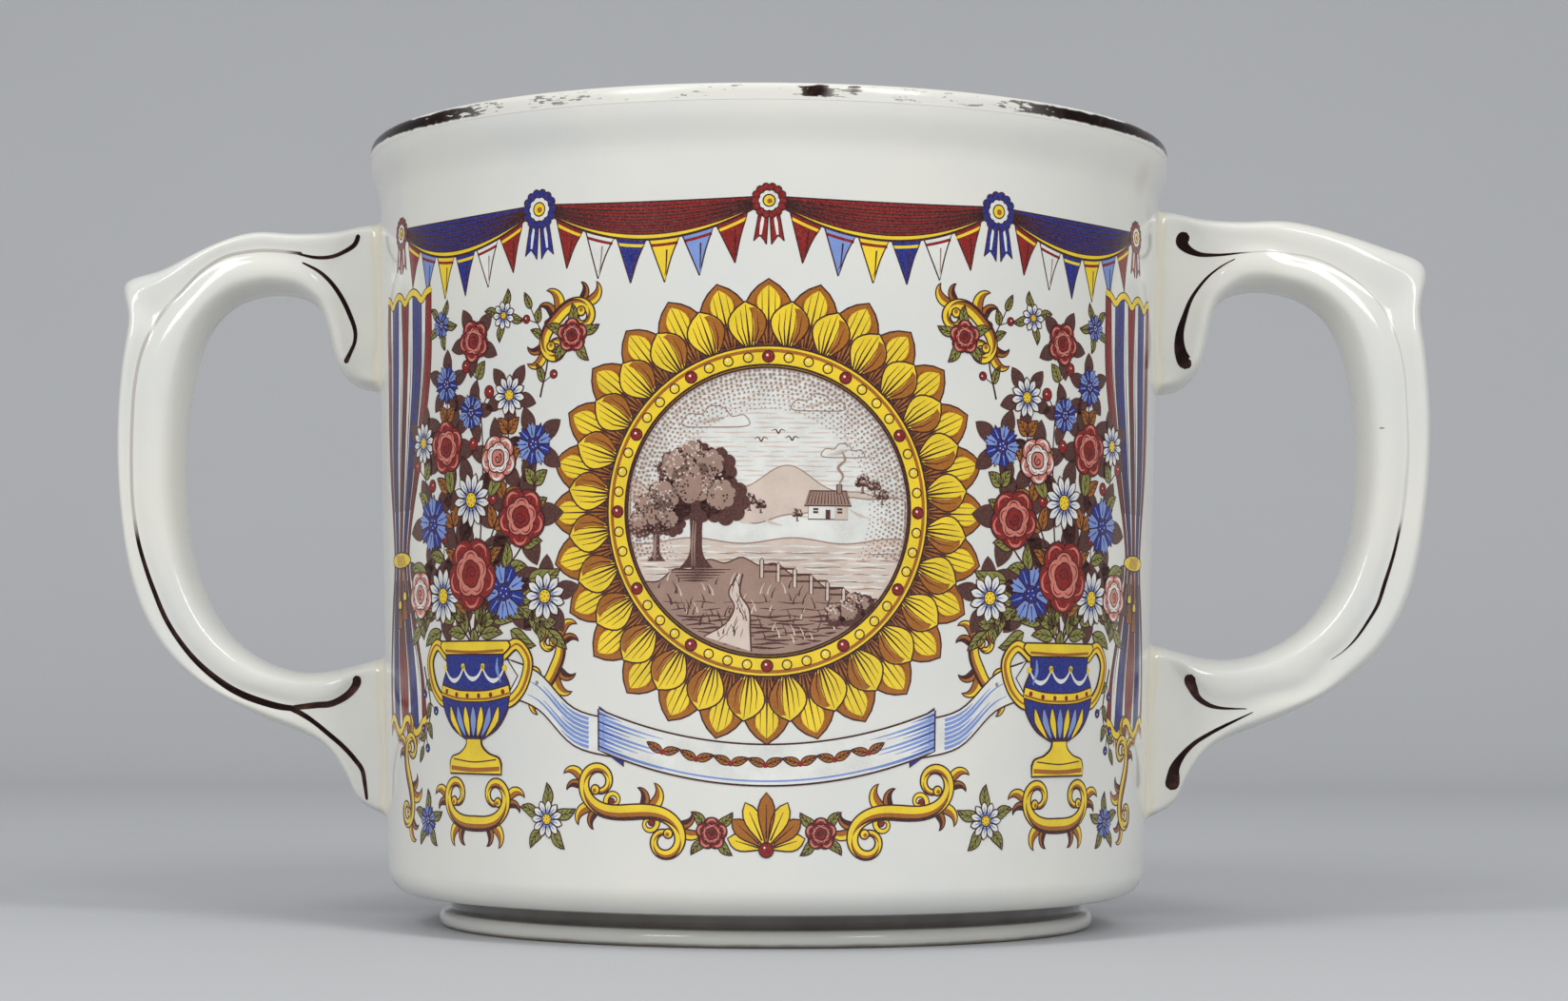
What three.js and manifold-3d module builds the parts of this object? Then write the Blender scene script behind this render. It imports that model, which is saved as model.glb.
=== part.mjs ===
// Two-handled commemorative mug in glazed earthenware. Millimetres, +Z up.
// The origin is on the mug's axis, in the plane its foot stands on. The printed front faces -Y.

import * as THREE from 'three';
import { mergeVertices } from 'three/addons/utils/BufferGeometryUtils.js';
import Module from 'manifold-3d';

const manifold = await Module();
manifold.setup();

// Body, jiggered in one piece with its foot. It narrows by the tapers from the rim down.
const MUG_HEIGHT = 76.3;
const RIM_RADIUS = 39.5;
const LIP_THICKNESS = 2.3;
const LIP_ROUND_HEIGHT = 1.1;
const FLARE_HEIGHT = 6.3;
const FLARE_WIDTH = 1.02;
const UPRIGHT_WALL_HEIGHT = 18;
const UPRIGHT_WALL_TAPER = 0.18;
const LOWER_WALL_TAPER = 1.3;
const WALL_THICKNESS = 2.7;
const BASE_CORNER_RADIUS = 2.6;
const FLOOR_THICKNESS = 3.9;
const FLOOR_CORNER_RADIUS = 5;

// Foot ring under the body, with a turned neck above its flange
const FOOT_INSET = 5;
const FOOT_RING_WIDTH = 3.6;
const FOOT_FLANGE_HEIGHT = 1.6;
const FOOT_NECK_HEIGHT = 1.5;
const FOOT_NECK_DEPTH = 1.1;
const FOOT_EDGE_ROUND = 0.75;
const FOOT_RECESS_DEPTH = 3.3;

// Handles, cast in one mould and finished by hand, so that each differs a little from the other.
// The widths of the bead and the arms lie in the handle's plane, and half depths are square to it.
const HANDLE_HALF_DEPTH = 4.5;
const BEAD_HALF_DEPTH = 4.2;
const GROOVE_HALF_DEPTH = 3.7;
const GROOVE_WIDTH = 0.9;
const ARM_WIDTH = 2.4;
const LOWER_BEAD_WIDTH = 1.4;
const ARM_TIP_PROJECTION = 2.8;
const ARM_TIP_ROUND = 0.9;
const SPUR_PROJECTION = 2.3;
const SPUR_HALF_DEPTH = 3.4;
const UPPER_PAD_FOOT_DROP = 23.6;
const UPPER_PAD_REACH = 8.6;
const LOWER_PAD_REACH = 12.8;
const HEEL_HEIGHT = 18.1;
const LEFT_HANDLE = {
  name: 'left_handle',
  side: -1,
  crestDrop: 8.1,
  shoulderDrop: 3.8,
  spurDrop: 5.1,
  topThickness: 6.3,
  bowThickness: 6.6,
  beadWidth: 1.8,
  projection: 25.9,
  sillHeight: 24.5,
};
const RIGHT_HANDLE = {
  name: 'right_handle',
  side: 1,
  crestDrop: 6.4,
  shoulderDrop: 2.6,
  spurDrop: 4.4,
  topThickness: 7.2,
  bowThickness: 7.25,
  beadWidth: 2.2,
  projection: 27.3,
  sillHeight: 26.2,
};

// Slip that lutes each handle end to the wall
const SLIP_THICKNESS = 0.6;
const SLIP_SQUEEZE_OUT = 0.45;
const SEAT_CLEARANCE = 0.15;

// Gilding and printed transfer, fired onto the glaze
const GILDING_THICKNESS = 0.1;
const SKIN_CLEARANCE = 0.06;
const RIM_BAND_HEIGHT = 0.6;
const LINE_WIDTH = 0.5;
const COMMA_WIDTH = 1;
const COMMA_LENGTH = 4;
const COMMA_OVERRUN = 0.9;
const TRANSFER_THICKNESS = 0.1;
const TRANSFER_HALF_ANGLE = 74;
const TRANSFER_TOP_MARGIN = 1.6;
const TRANSFER_BOTTOM_MARGIN = 3.5;
const TRANSFER_CORNER = 4;

// Facets of the round and lofted shapes
const ROUND_SEGMENTS = 60;
const ARC_STEPS = 3;
const STEPS_PER_STATION = 2;

const glaze = new THREE.MeshStandardMaterial({ color: 0xdfe1da, roughness: 0.12, metalness: 0 });
const slip = new THREE.MeshStandardMaterial({ color: 0xddd8c4, roughness: 0.2, metalness: 0 });
const gold = new THREE.MeshStandardMaterial({ color: 0x7a5526, roughness: 0.25, metalness: 1 });
const enamel = new THREE.MeshStandardMaterial({ color: 0xd8a427, roughness: 0.25, metalness: 0 });

// Heights and radii that follow from the sizes above
const BODY_UNDERSIDE = FOOT_FLANGE_HEIGHT + FOOT_NECK_HEIGHT;
const BASE_CORNER_TOP = BODY_UNDERSIDE + BASE_CORNER_RADIUS;
const FLARE_START = MUG_HEIGHT - FLARE_HEIGHT;
const LIP_START = MUG_HEIGHT - LIP_ROUND_HEIGHT;
const FLOOR_TOP = FOOT_RECESS_DEPTH + FLOOR_THICKNESS;
const WALL_MIDDLE_HEIGHT = FLARE_START - UPRIGHT_WALL_HEIGHT;
const WALL_TOP_RADIUS = RIM_RADIUS - FLARE_WIDTH;
const WALL_MIDDLE_RADIUS = WALL_TOP_RADIUS - UPRIGHT_WALL_TAPER;
const WALL_BOTTOM_RADIUS = WALL_MIDDLE_RADIUS - LOWER_WALL_TAPER;
const FOOT_RADIUS = WALL_BOTTOM_RADIUS - FOOT_INSET;
const FOOT_INNER_RADIUS = FOOT_RADIUS - FOOT_RING_WIDTH;

const radians = THREE.MathUtils.degToRad;
const point = (x, y) => new THREE.Vector2(x, y);
const { lerp, smoothstep } = THREE.MathUtils;

const LIP_CENTRE = point(RIM_RADIUS - LIP_THICKNESS / 2, LIP_START);

// Points of an elliptical arc, in degrees from the outward direction
function arc(centre, radiusAcross, radiusUp, from, to, steps = ARC_STEPS) {
  const points = [];
  for (let i = 0; i <= steps; i++) {
    const angle = radians(lerp(from, to, i / steps));
    points.push(point(centre.x + radiusAcross * Math.cos(angle), centre.y + radiusUp * Math.sin(angle)));
  }
  return points;
}

// Outside of the wall from its lower corner to the start of the lip, moved outwards by an offset.
// The flare leaves the wall as a parabola.
function outerWall(offset = 0) {
  const points = [
    point(WALL_BOTTOM_RADIUS + offset, BASE_CORNER_TOP),
    point(WALL_MIDDLE_RADIUS + offset, WALL_MIDDLE_HEIGHT),
  ];
  for (let i = 0; i <= ARC_STEPS; i++) {
    const rise = i / ARC_STEPS;
    const radius = WALL_TOP_RADIUS + FLARE_WIDTH * rise * rise;
    points.push(point(radius + offset, lerp(FLARE_START, LIP_START, rise)));
  }
  return points;
}

// Radius of the wall's outside at a height
function wallRadius(height) {
  const wall = outerWall();
  const upperIndex = Math.max(1, wall.findIndex((p) => p.y >= height));
  const [below, above] = [wall[upperIndex - 1], wall[upperIndex]];
  return THREE.MathUtils.mapLinear(height, below.y, above.y, below.x, above.x);
}

// Merges a geometry's vertices and turns it into a solid that faces out
function toSolid(geometry) {
  const bare = new THREE.BufferGeometry();
  bare.setAttribute('position', geometry.getAttribute('position'));
  bare.setIndex(geometry.getIndex());
  const merged = mergeVertices(bare, 1e-4);
  const position = merged.getAttribute('position');
  const corner = [new THREE.Vector3(), new THREE.Vector3(), new THREE.Vector3()];
  const triangles = [];
  let volume = 0;
  for (let i = 0; i < merged.index.count; i += 3) {
    const [a, b, c] = [0, 1, 2].map((k) => merged.index.getX(i + k));
    if (a === b || b === c || c === a) continue;
    triangles.push([a, b, c]);
    [a, b, c].forEach((vertex, k) => corner[k].fromBufferAttribute(position, vertex));
    volume += corner[0].dot(corner[1].clone().cross(corner[2]));
  }
  const facingOut = volume > 0 ? triangles : triangles.map(([a, b, c]) => [a, c, b]);
  const mesh = new manifold.Mesh({
    numProp: 3,
    vertProperties: new Float32Array(position.array),
    triVerts: new Uint32Array(facingOut.flat()),
  });
  return new manifold.Manifold(mesh);
}

// Revolves a profile of [radius, height] points about +Z
function turned(profile) {
  return toSolid(new THREE.LatheGeometry(profile, ROUND_SEGMENTS).rotateX(Math.PI / 2));
}

// Extrudes an outline drawn in X and Z along +Y, between two values of Y
function upright(outline, from, to) {
  const settings = { depth: to - from, bevelEnabled: false, curveSegments: ARC_STEPS };
  const geometry = new THREE.ExtrudeGeometry(outline, settings);
  return toSolid(geometry.rotateX(Math.PI / 2).translate(0, to, 0));
}

function mugBody() {
  const neckRadius = FOOT_RADIUS - FOOT_NECK_DEPTH;
  const flangeCentre = FOOT_RADIUS - FOOT_EDGE_ROUND;
  const flangeTop = FOOT_FLANGE_HEIGHT - FOOT_EDGE_ROUND;
  const innerRound = FOOT_EDGE_ROUND / 2;
  const foot = [
    point(0, FOOT_RECESS_DEPTH),
    point(FOOT_INNER_RADIUS - FOOT_EDGE_ROUND, FOOT_RECESS_DEPTH),
    point(FOOT_INNER_RADIUS, FOOT_RECESS_DEPTH - FOOT_EDGE_ROUND),
    point(FOOT_INNER_RADIUS, innerRound),
    point(FOOT_INNER_RADIUS + innerRound, 0),
    ...arc(point(flangeCentre, FOOT_EDGE_ROUND), FOOT_EDGE_ROUND, FOOT_EDGE_ROUND, -90, 0, 2),
    ...arc(point(flangeCentre, flangeTop), FOOT_EDGE_ROUND, FOOT_EDGE_ROUND, 0, 90, 2),
    point(neckRadius, FOOT_FLANGE_HEIGHT),
    point(neckRadius, BODY_UNDERSIDE),
  ];
  const cornerCentre = point(WALL_BOTTOM_RADIUS - BASE_CORNER_RADIUS, BASE_CORNER_TOP);
  const outerCorner = arc(cornerCentre, BASE_CORNER_RADIUS, BASE_CORNER_RADIUS, -90, 0);
  const lip = arc(LIP_CENTRE, LIP_THICKNESS / 2, LIP_ROUND_HEIGHT, 0, 180, 4);
  const insideTop = point(WALL_TOP_RADIUS - WALL_THICKNESS, FLARE_START);
  const insideMiddle = point(WALL_MIDDLE_RADIUS - WALL_THICKNESS, WALL_MIDDLE_HEIGHT);
  const floorRadius = WALL_BOTTOM_RADIUS - WALL_THICKNESS - FLOOR_CORNER_RADIUS;
  const floorCentre = point(floorRadius, FLOOR_TOP + FLOOR_CORNER_RADIUS);
  const innerCorner = arc(floorCentre, FLOOR_CORNER_RADIUS, FLOOR_CORNER_RADIUS, 0, -90);
  return turned([
    ...foot,
    ...outerCorner,
    ...outerWall().slice(1, -1),
    ...lip,
    insideTop,
    insideMiddle,
    ...innerCorner,
    point(0, FLOOR_TOP),
  ]);
}

// Sections of a handle from its upper end to its lower end, each as a point on the outer outline and one
// on the inner outline. Those of the free bow are shares of its reach and of its height, and the others
// are shares of the reach of their pad. Both outlines start and end inside the wall, where the handle is
// trimmed to it. There one of the two turns along the wall, so that the sections fan round each pad.
function handleStations(handle) {
  const crest = MUG_HEIGHT - handle.crestDrop;
  const arch = crest - handle.topThickness;
  const padFoot = MUG_HEIGHT - UPPER_PAD_FOOT_DROP;
  const sill = handle.sillHeight;
  const heel = HEEL_HEIGHT;
  const upper = WALL_TOP_RADIUS;
  const lower = WALL_BOTTOM_RADIUS;
  const outerReach = upper + handle.projection;
  const innerReach = outerReach - handle.bowThickness;
  const u = UPPER_PAD_REACH;
  const l = LOWER_PAD_REACH;
  const outerBowStart = upper + u;
  const innerBowStart = upper + 1.081 * u;
  const fallen = (drop) => 1 - drop / (crest - heel);
  const station = (outer, inner) => ({ outer: point(...outer), inner: point(...inner) });
  const bow = ([outerOut, outerUp], [innerOut, innerUp]) => station(
    [lerp(outerBowStart, outerReach, outerOut), lerp(heel, crest, outerUp)],
    [lerp(innerBowStart, innerReach, innerOut), lerp(sill, arch, innerUp)],
  );
  return [
    station([upper - 0.581 * u, padFoot + 0.349 * u], [upper - 0.465 * u, padFoot - 0.012 * u]),
    station([upper - 0.581 * u, padFoot + 0.581 * u], [upper + 0.233 * u, padFoot - 0.012 * u]),
    station([upper - 0.581 * u, padFoot + 0.872 * u], [upper + 0.488 * u, padFoot + 0.221 * u]),
    station([upper - 0.581 * u, padFoot + 1.395 * u], [upper + 0.593 * u, padFoot + 0.581 * u]),
    station([upper - 0.523 * u, crest - 0.058 * u], [upper + 0.651 * u, arch - 0.314 * u]),
    station([upper + 0.047 * u, crest + 0.105 * u], [upper + 0.733 * u, arch - 0.151 * u]),
    station([upper + 0.512 * u, crest + 0.012 * u], [upper + 0.884 * u, arch - 0.047 * u]),
    station([outerBowStart, crest - 0.017 * u], [innerBowStart, arch]),
    bow([0.24, 1], [0.22, 1]),
    bow([0.49, fallen(0.39 * handle.shoulderDrop)], [0.53, 0.973]),
    bow([0.765, fallen(handle.shoulderDrop)], [0.754, 0.914]),
    bow([0.99, fallen(handle.spurDrop)], [0.88, 0.832]),
    bow([0.95, 0.831], [0.937, 0.757]),
    bow([0.98, 0.735], [0.98, 0.668]),
    bow([1, 0.608], [1, 0.546]),
    bow([0.973, 0.449], [0.966, 0.378]),
    bow([0.89, 0.284], [0.83, 0.232]),
    bow([0.727, 0.176], [0.56, 0.105]),
    bow([0.497, 0.102], [0.21, 0.032]),
    station([lower + l, heel + 0.148 * l], [lower + 0.703 * l, sill]),
    station([lower + 0.672 * l, heel + 0.023 * l], [lower + 0.453 * l, sill + 0.016 * l]),
    station([lower + 0.484 * l, heel - 0.086 * l], [lower + 0.234 * l, sill + 0.07 * l]),
    station([lower + 0.344 * l, heel - 0.281 * l], [lower - 0.039 * l, sill + 0.117 * l]),
    station([lower + 0.242 * l, heel - 0.484 * l], [lower - 0.312 * l, sill - 0.039 * l]),
    station([lower + 0.047 * l, heel - 0.594 * l], [lower - 0.391 * l, sill - 0.469 * l]),
    station([lower - 0.312 * l, heel - 0.672 * l], [lower - 0.391 * l, sill - 0.859 * l]),
  ];
}

// Places along the handle, counted in stations
const UPPER_PAD_STATION = 6;
const UPPER_NECK_STATION = 7.3;
const SPUR_STATION = 11;
const LOWER_NECK_STATION = 19.3;
const LOWER_PAD_STATION = 20;
const LAST_STATION = 25;

// Half length of the spur and length of an arm's web from its neck, in stations
const SPUR_HALF_LENGTH = 1.5;
const WEB_OPENING = 2;

// Least slant that widths are drawn out for
const SLANT_LIMIT = 0.45;

// How far, in stations, the line along the roll starts before the grooves part
const LINE_OVERLAP = 0.5;

// Smooth sections between the stations, each with its outlines and the widths of its roll and its bead.
// Widths are square to the outlines, and are drawn out where a section crosses an outline at a slant.
function handleSections(handle, from = 0, to = LAST_STATION) {
  const stations = handleStations(handle);
  const along = (side) => {
    const points = stations.map((station) => new THREE.Vector3(station[side].x, 0, station[side].y));
    return new THREE.CatmullRomCurve3(points, false, 'centripetal');
  };
  const outerCurve = along('outer');
  const innerCurve = along('inner');
  const sections = [];
  for (let i = from * STEPS_PER_STATION; i <= to * STEPS_PER_STATION; i++) {
    const place = i / STEPS_PER_STATION;
    const outer = outerCurve.getPoint(place / LAST_STATION);
    const inner = innerCurve.getPoint(place / LAST_STATION);
    const across = outer.clone().sub(inner).normalize();
    const thickness = outer.distanceTo(inner);
    const openUpper = 1 - smoothstep(place, UPPER_NECK_STATION - WEB_OPENING, UPPER_NECK_STATION);
    const openLower = smoothstep(place, LOWER_NECK_STATION, LOWER_NECK_STATION + WEB_OPENING);
    const web = Math.max(openUpper, openLower);
    const slant = (curve) => {
      const crossing = across.clone().cross(curve.getTangent(place / LAST_STATION)).length();
      return lerp(1, Math.max(SLANT_LIMIT, crossing), web);
    };
    const beadSlant = slant(outerCurve);
    const rollSlant = slant(innerCurve);
    const spur = 1 - smoothstep(Math.abs(place - SPUR_STATION), 0, SPUR_HALF_LENGTH);
    const armBead = lerp(lerp(handle.beadWidth, ARM_WIDTH, openUpper), LOWER_BEAD_WIDTH, openLower);
    const bead = armBead / beadSlant + SPUR_PROJECTION * spur;
    const closedRoll = thickness - bead - GROOVE_WIDTH / beadSlant;
    const roll = lerp(closedRoll, Math.min(ARM_WIDTH / rollSlant, closedRoll), web);
    sections.push({ place, outer, inner, across, thickness, bead, roll, beadSlant, rollSlant, spur });
  }
  return sections;
}

// How far an arm stands proud at a point of its crest: it ends in a rounded tip short of the wall
function armProud(section, fromInner) {
  const crest = section.inner.clone().addScaledVector(section.across, fromInner);
  const projection = crest.x - wallRadius(crest.z);
  return smoothstep(projection, ARM_TIP_PROJECTION - ARM_TIP_ROUND, ARM_TIP_PROJECTION + ARM_TIP_ROUND);
}

// Half of a section, from the inner outline (y = 0) over the roll, groove and bead to the outer outline.
// Each point is [distance from the inner outline, half depth].
function halfSection(section, grow) {
  const { thickness, bead, roll, spur } = section;
  const rollCrest = roll / 2;
  const beadCrest = thickness - bead / 2;
  const rollProud = armProud(section, rollCrest);
  const beadProud = armProud(section, beadCrest);
  const rollDepth = lerp(GROOVE_HALF_DEPTH, HANDLE_HALF_DEPTH, rollProud) + grow;
  const beadOuter = lerp(BEAD_HALF_DEPTH, SPUR_HALF_DEPTH, spur);
  const beadDepth = lerp(GROOVE_HALF_DEPTH, beadOuter, beadProud) + grow;
  const floor = GROOVE_HALF_DEPTH + grow;
  const beadFloor = Math.min(floor, beadDepth);
  const rollSide = arc(point(rollCrest, 0), rollCrest + grow, rollDepth, 180, 90, 4);
  const rollFlank = arc(point(rollCrest, floor), roll - rollCrest, rollDepth - floor, 90, 0, 2).slice(1);
  const beadStart = thickness - bead;
  const beadRise = beadDepth - beadFloor;
  const beadFlank = arc(point(beadCrest, beadFloor), beadCrest - beadStart, beadRise, 180, 90, 2);
  const beadSide = arc(point(beadCrest, 0), bead / 2 + grow, beadDepth, 90, 0, 4).slice(1);
  return [...rollSide, ...rollFlank, ...beadFlank, ...beadSide];
}

// Lofts the handle's sections into a closed solid on the +X side, then moves it to its own side
function handleLoft(handle, { from = 0, to = LAST_STATION, grow = 0 } = {}) {
  const rings = handleSections(handle, from, to).map((section) => {
    const half = halfSection(section, grow);
    const place = (p, sign) => section.inner.clone().addScaledVector(section.across, p.x).setY(sign * p.y);
    const front = half.map((p) => place(p, -1));
    const back = half.slice(1, -1).reverse().map((p) => place(p, 1));
    return [...front, ...back];
  });
  const size = rings[0].length;
  const index = [];
  for (let r = 0; r < rings.length - 1; r++) {
    for (let k = 0; k < size; k++) {
      const next = (k + 1) % size;
      const [a, b, c, d] = [r * size + k, r * size + next, (r + 1) * size + next, (r + 1) * size + k];
      index.push(a, b, c, a, c, d);
    }
  }
  const capFan = (start, flip) => {
    for (let k = 1; k < size / 2; k++) {
      const [a, b, c, d] = [start + k - 1, start + k, start + size - k, start + ((size - k + 1) % size)];
      const quad = k === 1 ? [a, c, b] : [a, c, b, a, d, c];
      index.push(...(flip ? quad.reverse() : quad));
    }
    const half = size / 2;
    const tip = [start + half - 1, start + half + 1, start + half];
    index.push(...(flip ? tip.reverse() : tip));
  };
  capFan(0, false);
  capFan((rings.length - 1) * size, true);
  const geometry = new THREE.BufferGeometry();
  const positions = rings.flat().flatMap((p) => [handle.side * p.x, p.y, p.z]);
  geometry.setAttribute('position', new THREE.Float32BufferAttribute(positions, 3));
  geometry.setIndex(index);
  return toSolid(geometry);
}

// The wall and everything inside it, grown outwards: what trims a handle or a pad of slip
function wallCore(offset) {
  const wall = outerWall(offset);
  const first = wall[0];
  const last = wall[wall.length - 1];
  return turned([point(0, 0), point(first.x, 0), ...wall, point(last.x, MUG_HEIGHT), point(0, MUG_HEIGHT)]);
}

// A painted line of changing width with round ends, drawn along points in X and Z between two values of Y
function paintedLine(path, from, to) {
  const sides = path.map((p, i) => {
    const before = path[Math.max(i - 1, 0)].at;
    const after = path[Math.min(i + 1, path.length - 1)].at;
    const along = after.clone().sub(before).normalize();
    const across = point(-along.y, along.x).multiplyScalar(p.width / 2);
    return [p.at.clone().add(across), p.at.clone().sub(across)];
  });
  const outline = [...sides.map(([left]) => left), ...sides.map(([, right]) => right).reverse()];
  const ends = [path[0], path[path.length - 1]].map((end) => {
    const disc = new THREE.CylinderGeometry(end.width / 2, end.width / 2, to - from, 4 * ARC_STEPS);
    return toSolid(disc.translate(end.at.x, (from + to) / 2, end.at.y));
  });
  return upright(new THREE.Shape(outline), from, to).add(ends[0]).add(ends[1]);
}

// Cuts a painted line where it has run past an arm's tip, towards the wall, by the overrun.
// Points crowded against either end of what is left are dropped, so that its sides don't cross.
function cutAtWall(path) {
  const kept = (p) => p.beyondTip > -COMMA_OVERRUN;
  const line = path.flatMap((p, i) => {
    const before = path[i - 1];
    const own = kept(p) ? [p] : [];
    if (!before || kept(before) === kept(p)) return own;
    const share = THREE.MathUtils.mapLinear(-COMMA_OVERRUN, before.beyondTip, p.beyondTip, 0, 1);
    const cut = { at: before.at.clone().lerp(p.at, share), width: lerp(before.width, p.width, share) };
    return kept(p) ? [cut, p] : [cut];
  });
  const ends = [line[0], line[line.length - 1]];
  const crowded = (p) => ends.some((end) => end !== p && end.at.distanceTo(p.at) < end.width / 2);
  return line.filter((p) => ends.includes(p) || !crowded(p));
}

// Gilding in the groove of one face of a handle: a line along the groove that ends in a comma on an arm
// at each end of the handle, and a second comma on the other arm
function handleGilding(handle, face) {
  const lines = handleSections(handle).map((section) => {
    const onFloor = (edge, towards, slant) => {
      const start = section.inner.clone().addScaledVector(section.across, edge);
      const beyondTip = start.x - wallRadius(start.z) - ARM_TIP_PROJECTION;
      const swell = 1 - smoothstep(beyondTip, 0, COMMA_LENGTH);
      const width = lerp(LINE_WIDTH, COMMA_WIDTH, swell);
      const inset = (GROOVE_WIDTH - LINE_WIDTH + width) / 2 / slant;
      const at = start.addScaledVector(section.across, towards * inset);
      return { place: section.place, at: point(handle.side * at.x, at.z), width, beyondTip };
    };
    const besideBead = onFloor(section.thickness - section.bead, -1, section.beadSlant);
    const besideRoll = onFloor(section.roll, 1, section.rollSlant);
    return { besideBead, besideRoll };
  });
  const alongBead = lines.map((line) => line.besideBead);
  const alongRoll = lines.map((line) => line.besideRoll);
  const paths = [
    alongBead,
    alongRoll.filter((p) => p.place <= UPPER_NECK_STATION + LINE_OVERLAP),
    alongRoll.filter((p) => p.place >= LOWER_NECK_STATION - LINE_OVERLAP),
  ];
  const inner = GROOVE_HALF_DEPTH + SKIN_CLEARANCE;
  const outer = inner + GILDING_THICKNESS;
  const [from, to] = face < 0 ? [-outer, -inner] : [inner, outer];
  const painted = paths.map((path) => paintedLine(cutAtWall(path), from, to));
  return painted.reduce((all, one) => all.add(one));
}

// A thin closed skin of revolution over an outline, which is a function of the distance from the glaze
function turnedSkin(outline, thickness) {
  const near = outline(SKIN_CLEARANCE);
  const far = outline(SKIN_CLEARANCE + thickness).reverse();
  return turned([...near, ...far, near[0]]);
}

// Gold band round the outside of the lip, up to the middle of its round
function rimGilding() {
  const low = LIP_START - RIM_BAND_HEIGHT;
  const outline = (offset) => [
    point(wallRadius(low) + offset, low),
    ...arc(LIP_CENTRE, LIP_THICKNESS / 2 + offset, LIP_ROUND_HEIGHT + offset, 0, 45, 1),
  ];
  return turnedSkin(outline, GILDING_THICKNESS);
}

// Sheet of the printed transfer, laid on the front of the wall
function frontTransfer() {
  const low = BASE_CORNER_TOP + TRANSFER_BOTTOM_MARGIN;
  const high = FLARE_START - TRANSFER_TOP_MARGIN;
  const heights = [low, WALL_MIDDLE_HEIGHT, high];
  const outline = (offset) => heights.map((height) => point(wallRadius(height) + offset, height));
  const halfWidth = (height) => wallRadius(height) * Math.sin(radians(TRANSFER_HALF_ANGLE));
  const [lowHalf, highHalf, round] = [halfWidth(low), halfWidth(high), TRANSFER_CORNER];
  const sheet = new THREE.Shape();
  sheet.moveTo(-lowHalf + round, low);
  sheet.lineTo(lowHalf - round, low);
  sheet.quadraticCurveTo(lowHalf, low, lowHalf, low + round);
  sheet.lineTo(highHalf, high - round);
  sheet.quadraticCurveTo(highHalf, high, highHalf - round, high);
  sheet.lineTo(-highHalf + round, high);
  sheet.quadraticCurveTo(-highHalf, high, -highHalf, high - round);
  sheet.lineTo(-lowHalf, low + round);
  sheet.quadraticCurveTo(-lowHalf, low, -lowHalf + round, low);
  return turnedSkin(outline, TRANSFER_THICKNESS).intersect(upright(sheet, -2 * RIM_RADIUS, 0));
}

const mug = new THREE.Group();

function addPiece(name, solid, material) {
  const { vertProperties, triVerts } = solid.getMesh();
  const geometry = new THREE.BufferGeometry();
  geometry.setAttribute('position', new THREE.BufferAttribute(vertProperties, 3));
  geometry.setIndex(new THREE.BufferAttribute(triVerts, 1));
  geometry.computeVertexNormals();
  const piece = new THREE.Mesh(geometry, material);
  piece.name = name;
  mug.add(piece);
}

addPiece('mug_body', mugBody(), glaze);
addPiece('rim_gilding', rimGilding(), gold);
addPiece('front_transfer', frontTransfer(), enamel);

const slipShell = wallCore(SEAT_CLEARANCE + SLIP_THICKNESS).subtract(wallCore(SEAT_CLEARANCE));
const handleTrim = wallCore(2 * SEAT_CLEARANCE + SLIP_THICKNESS);

for (const handle of [LEFT_HANDLE, RIGHT_HANDLE]) {
  addPiece(handle.name, handleLoft(handle).subtract(handleTrim), glaze);
  const upperEnd = handleLoft(handle, { to: UPPER_PAD_STATION, grow: SLIP_SQUEEZE_OUT });
  const lowerEnd = handleLoft(handle, { from: LOWER_PAD_STATION, grow: SLIP_SQUEEZE_OUT });
  addPiece(`${handle.name}_upper_slip`, upperEnd.intersect(slipShell), slip);
  addPiece(`${handle.name}_lower_slip`, lowerEnd.intersect(slipShell), slip);
  addPiece(`${handle.name}_front_gilding`, handleGilding(handle, -1), gold);
  addPiece(`${handle.name}_back_gilding`, handleGilding(handle, 1), gold);
}

export default mug;
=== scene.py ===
"""Looks of a two-handled earthenware mug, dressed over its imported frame.

Sizes are in millimetres until a mesh is made. The mug's axis is Z, its printed front faces -Y and its
handles lie along X.
"""

import logging
import math
import random
from collections.abc import Callable, Iterable, Sequence
from dataclasses import dataclass, field, replace
from enum import Enum
from functools import cached_property
from typing import Any

import bmesh
import bpy
import numpy as np
from mathutils import Matrix, Vector
from mathutils.bvhtree import BVHTree
from mathutils.geometry import tessellate_polygon


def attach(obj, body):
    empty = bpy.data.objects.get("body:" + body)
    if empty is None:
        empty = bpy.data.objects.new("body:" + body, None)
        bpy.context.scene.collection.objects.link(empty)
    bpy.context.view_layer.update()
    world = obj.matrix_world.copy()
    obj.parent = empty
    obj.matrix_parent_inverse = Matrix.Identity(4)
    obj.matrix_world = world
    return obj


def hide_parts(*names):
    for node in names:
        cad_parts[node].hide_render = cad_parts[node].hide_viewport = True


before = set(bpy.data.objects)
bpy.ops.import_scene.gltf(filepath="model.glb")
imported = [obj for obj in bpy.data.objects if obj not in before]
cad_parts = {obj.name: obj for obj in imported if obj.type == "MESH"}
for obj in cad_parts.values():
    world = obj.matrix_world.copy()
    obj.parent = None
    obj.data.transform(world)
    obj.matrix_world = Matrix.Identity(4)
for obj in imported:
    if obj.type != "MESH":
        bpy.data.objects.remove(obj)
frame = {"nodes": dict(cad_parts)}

LOG = logging.getLogger("mug")
MM = 0.001
BODY = "root"
TURN = 2 * math.pi

Array = np.ndarray
Colour = tuple[float, float, float]
Faces = list[tuple[int, ...]]
Key = str | int
Value = Any
Inputs = dict[Key, Value]


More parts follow.
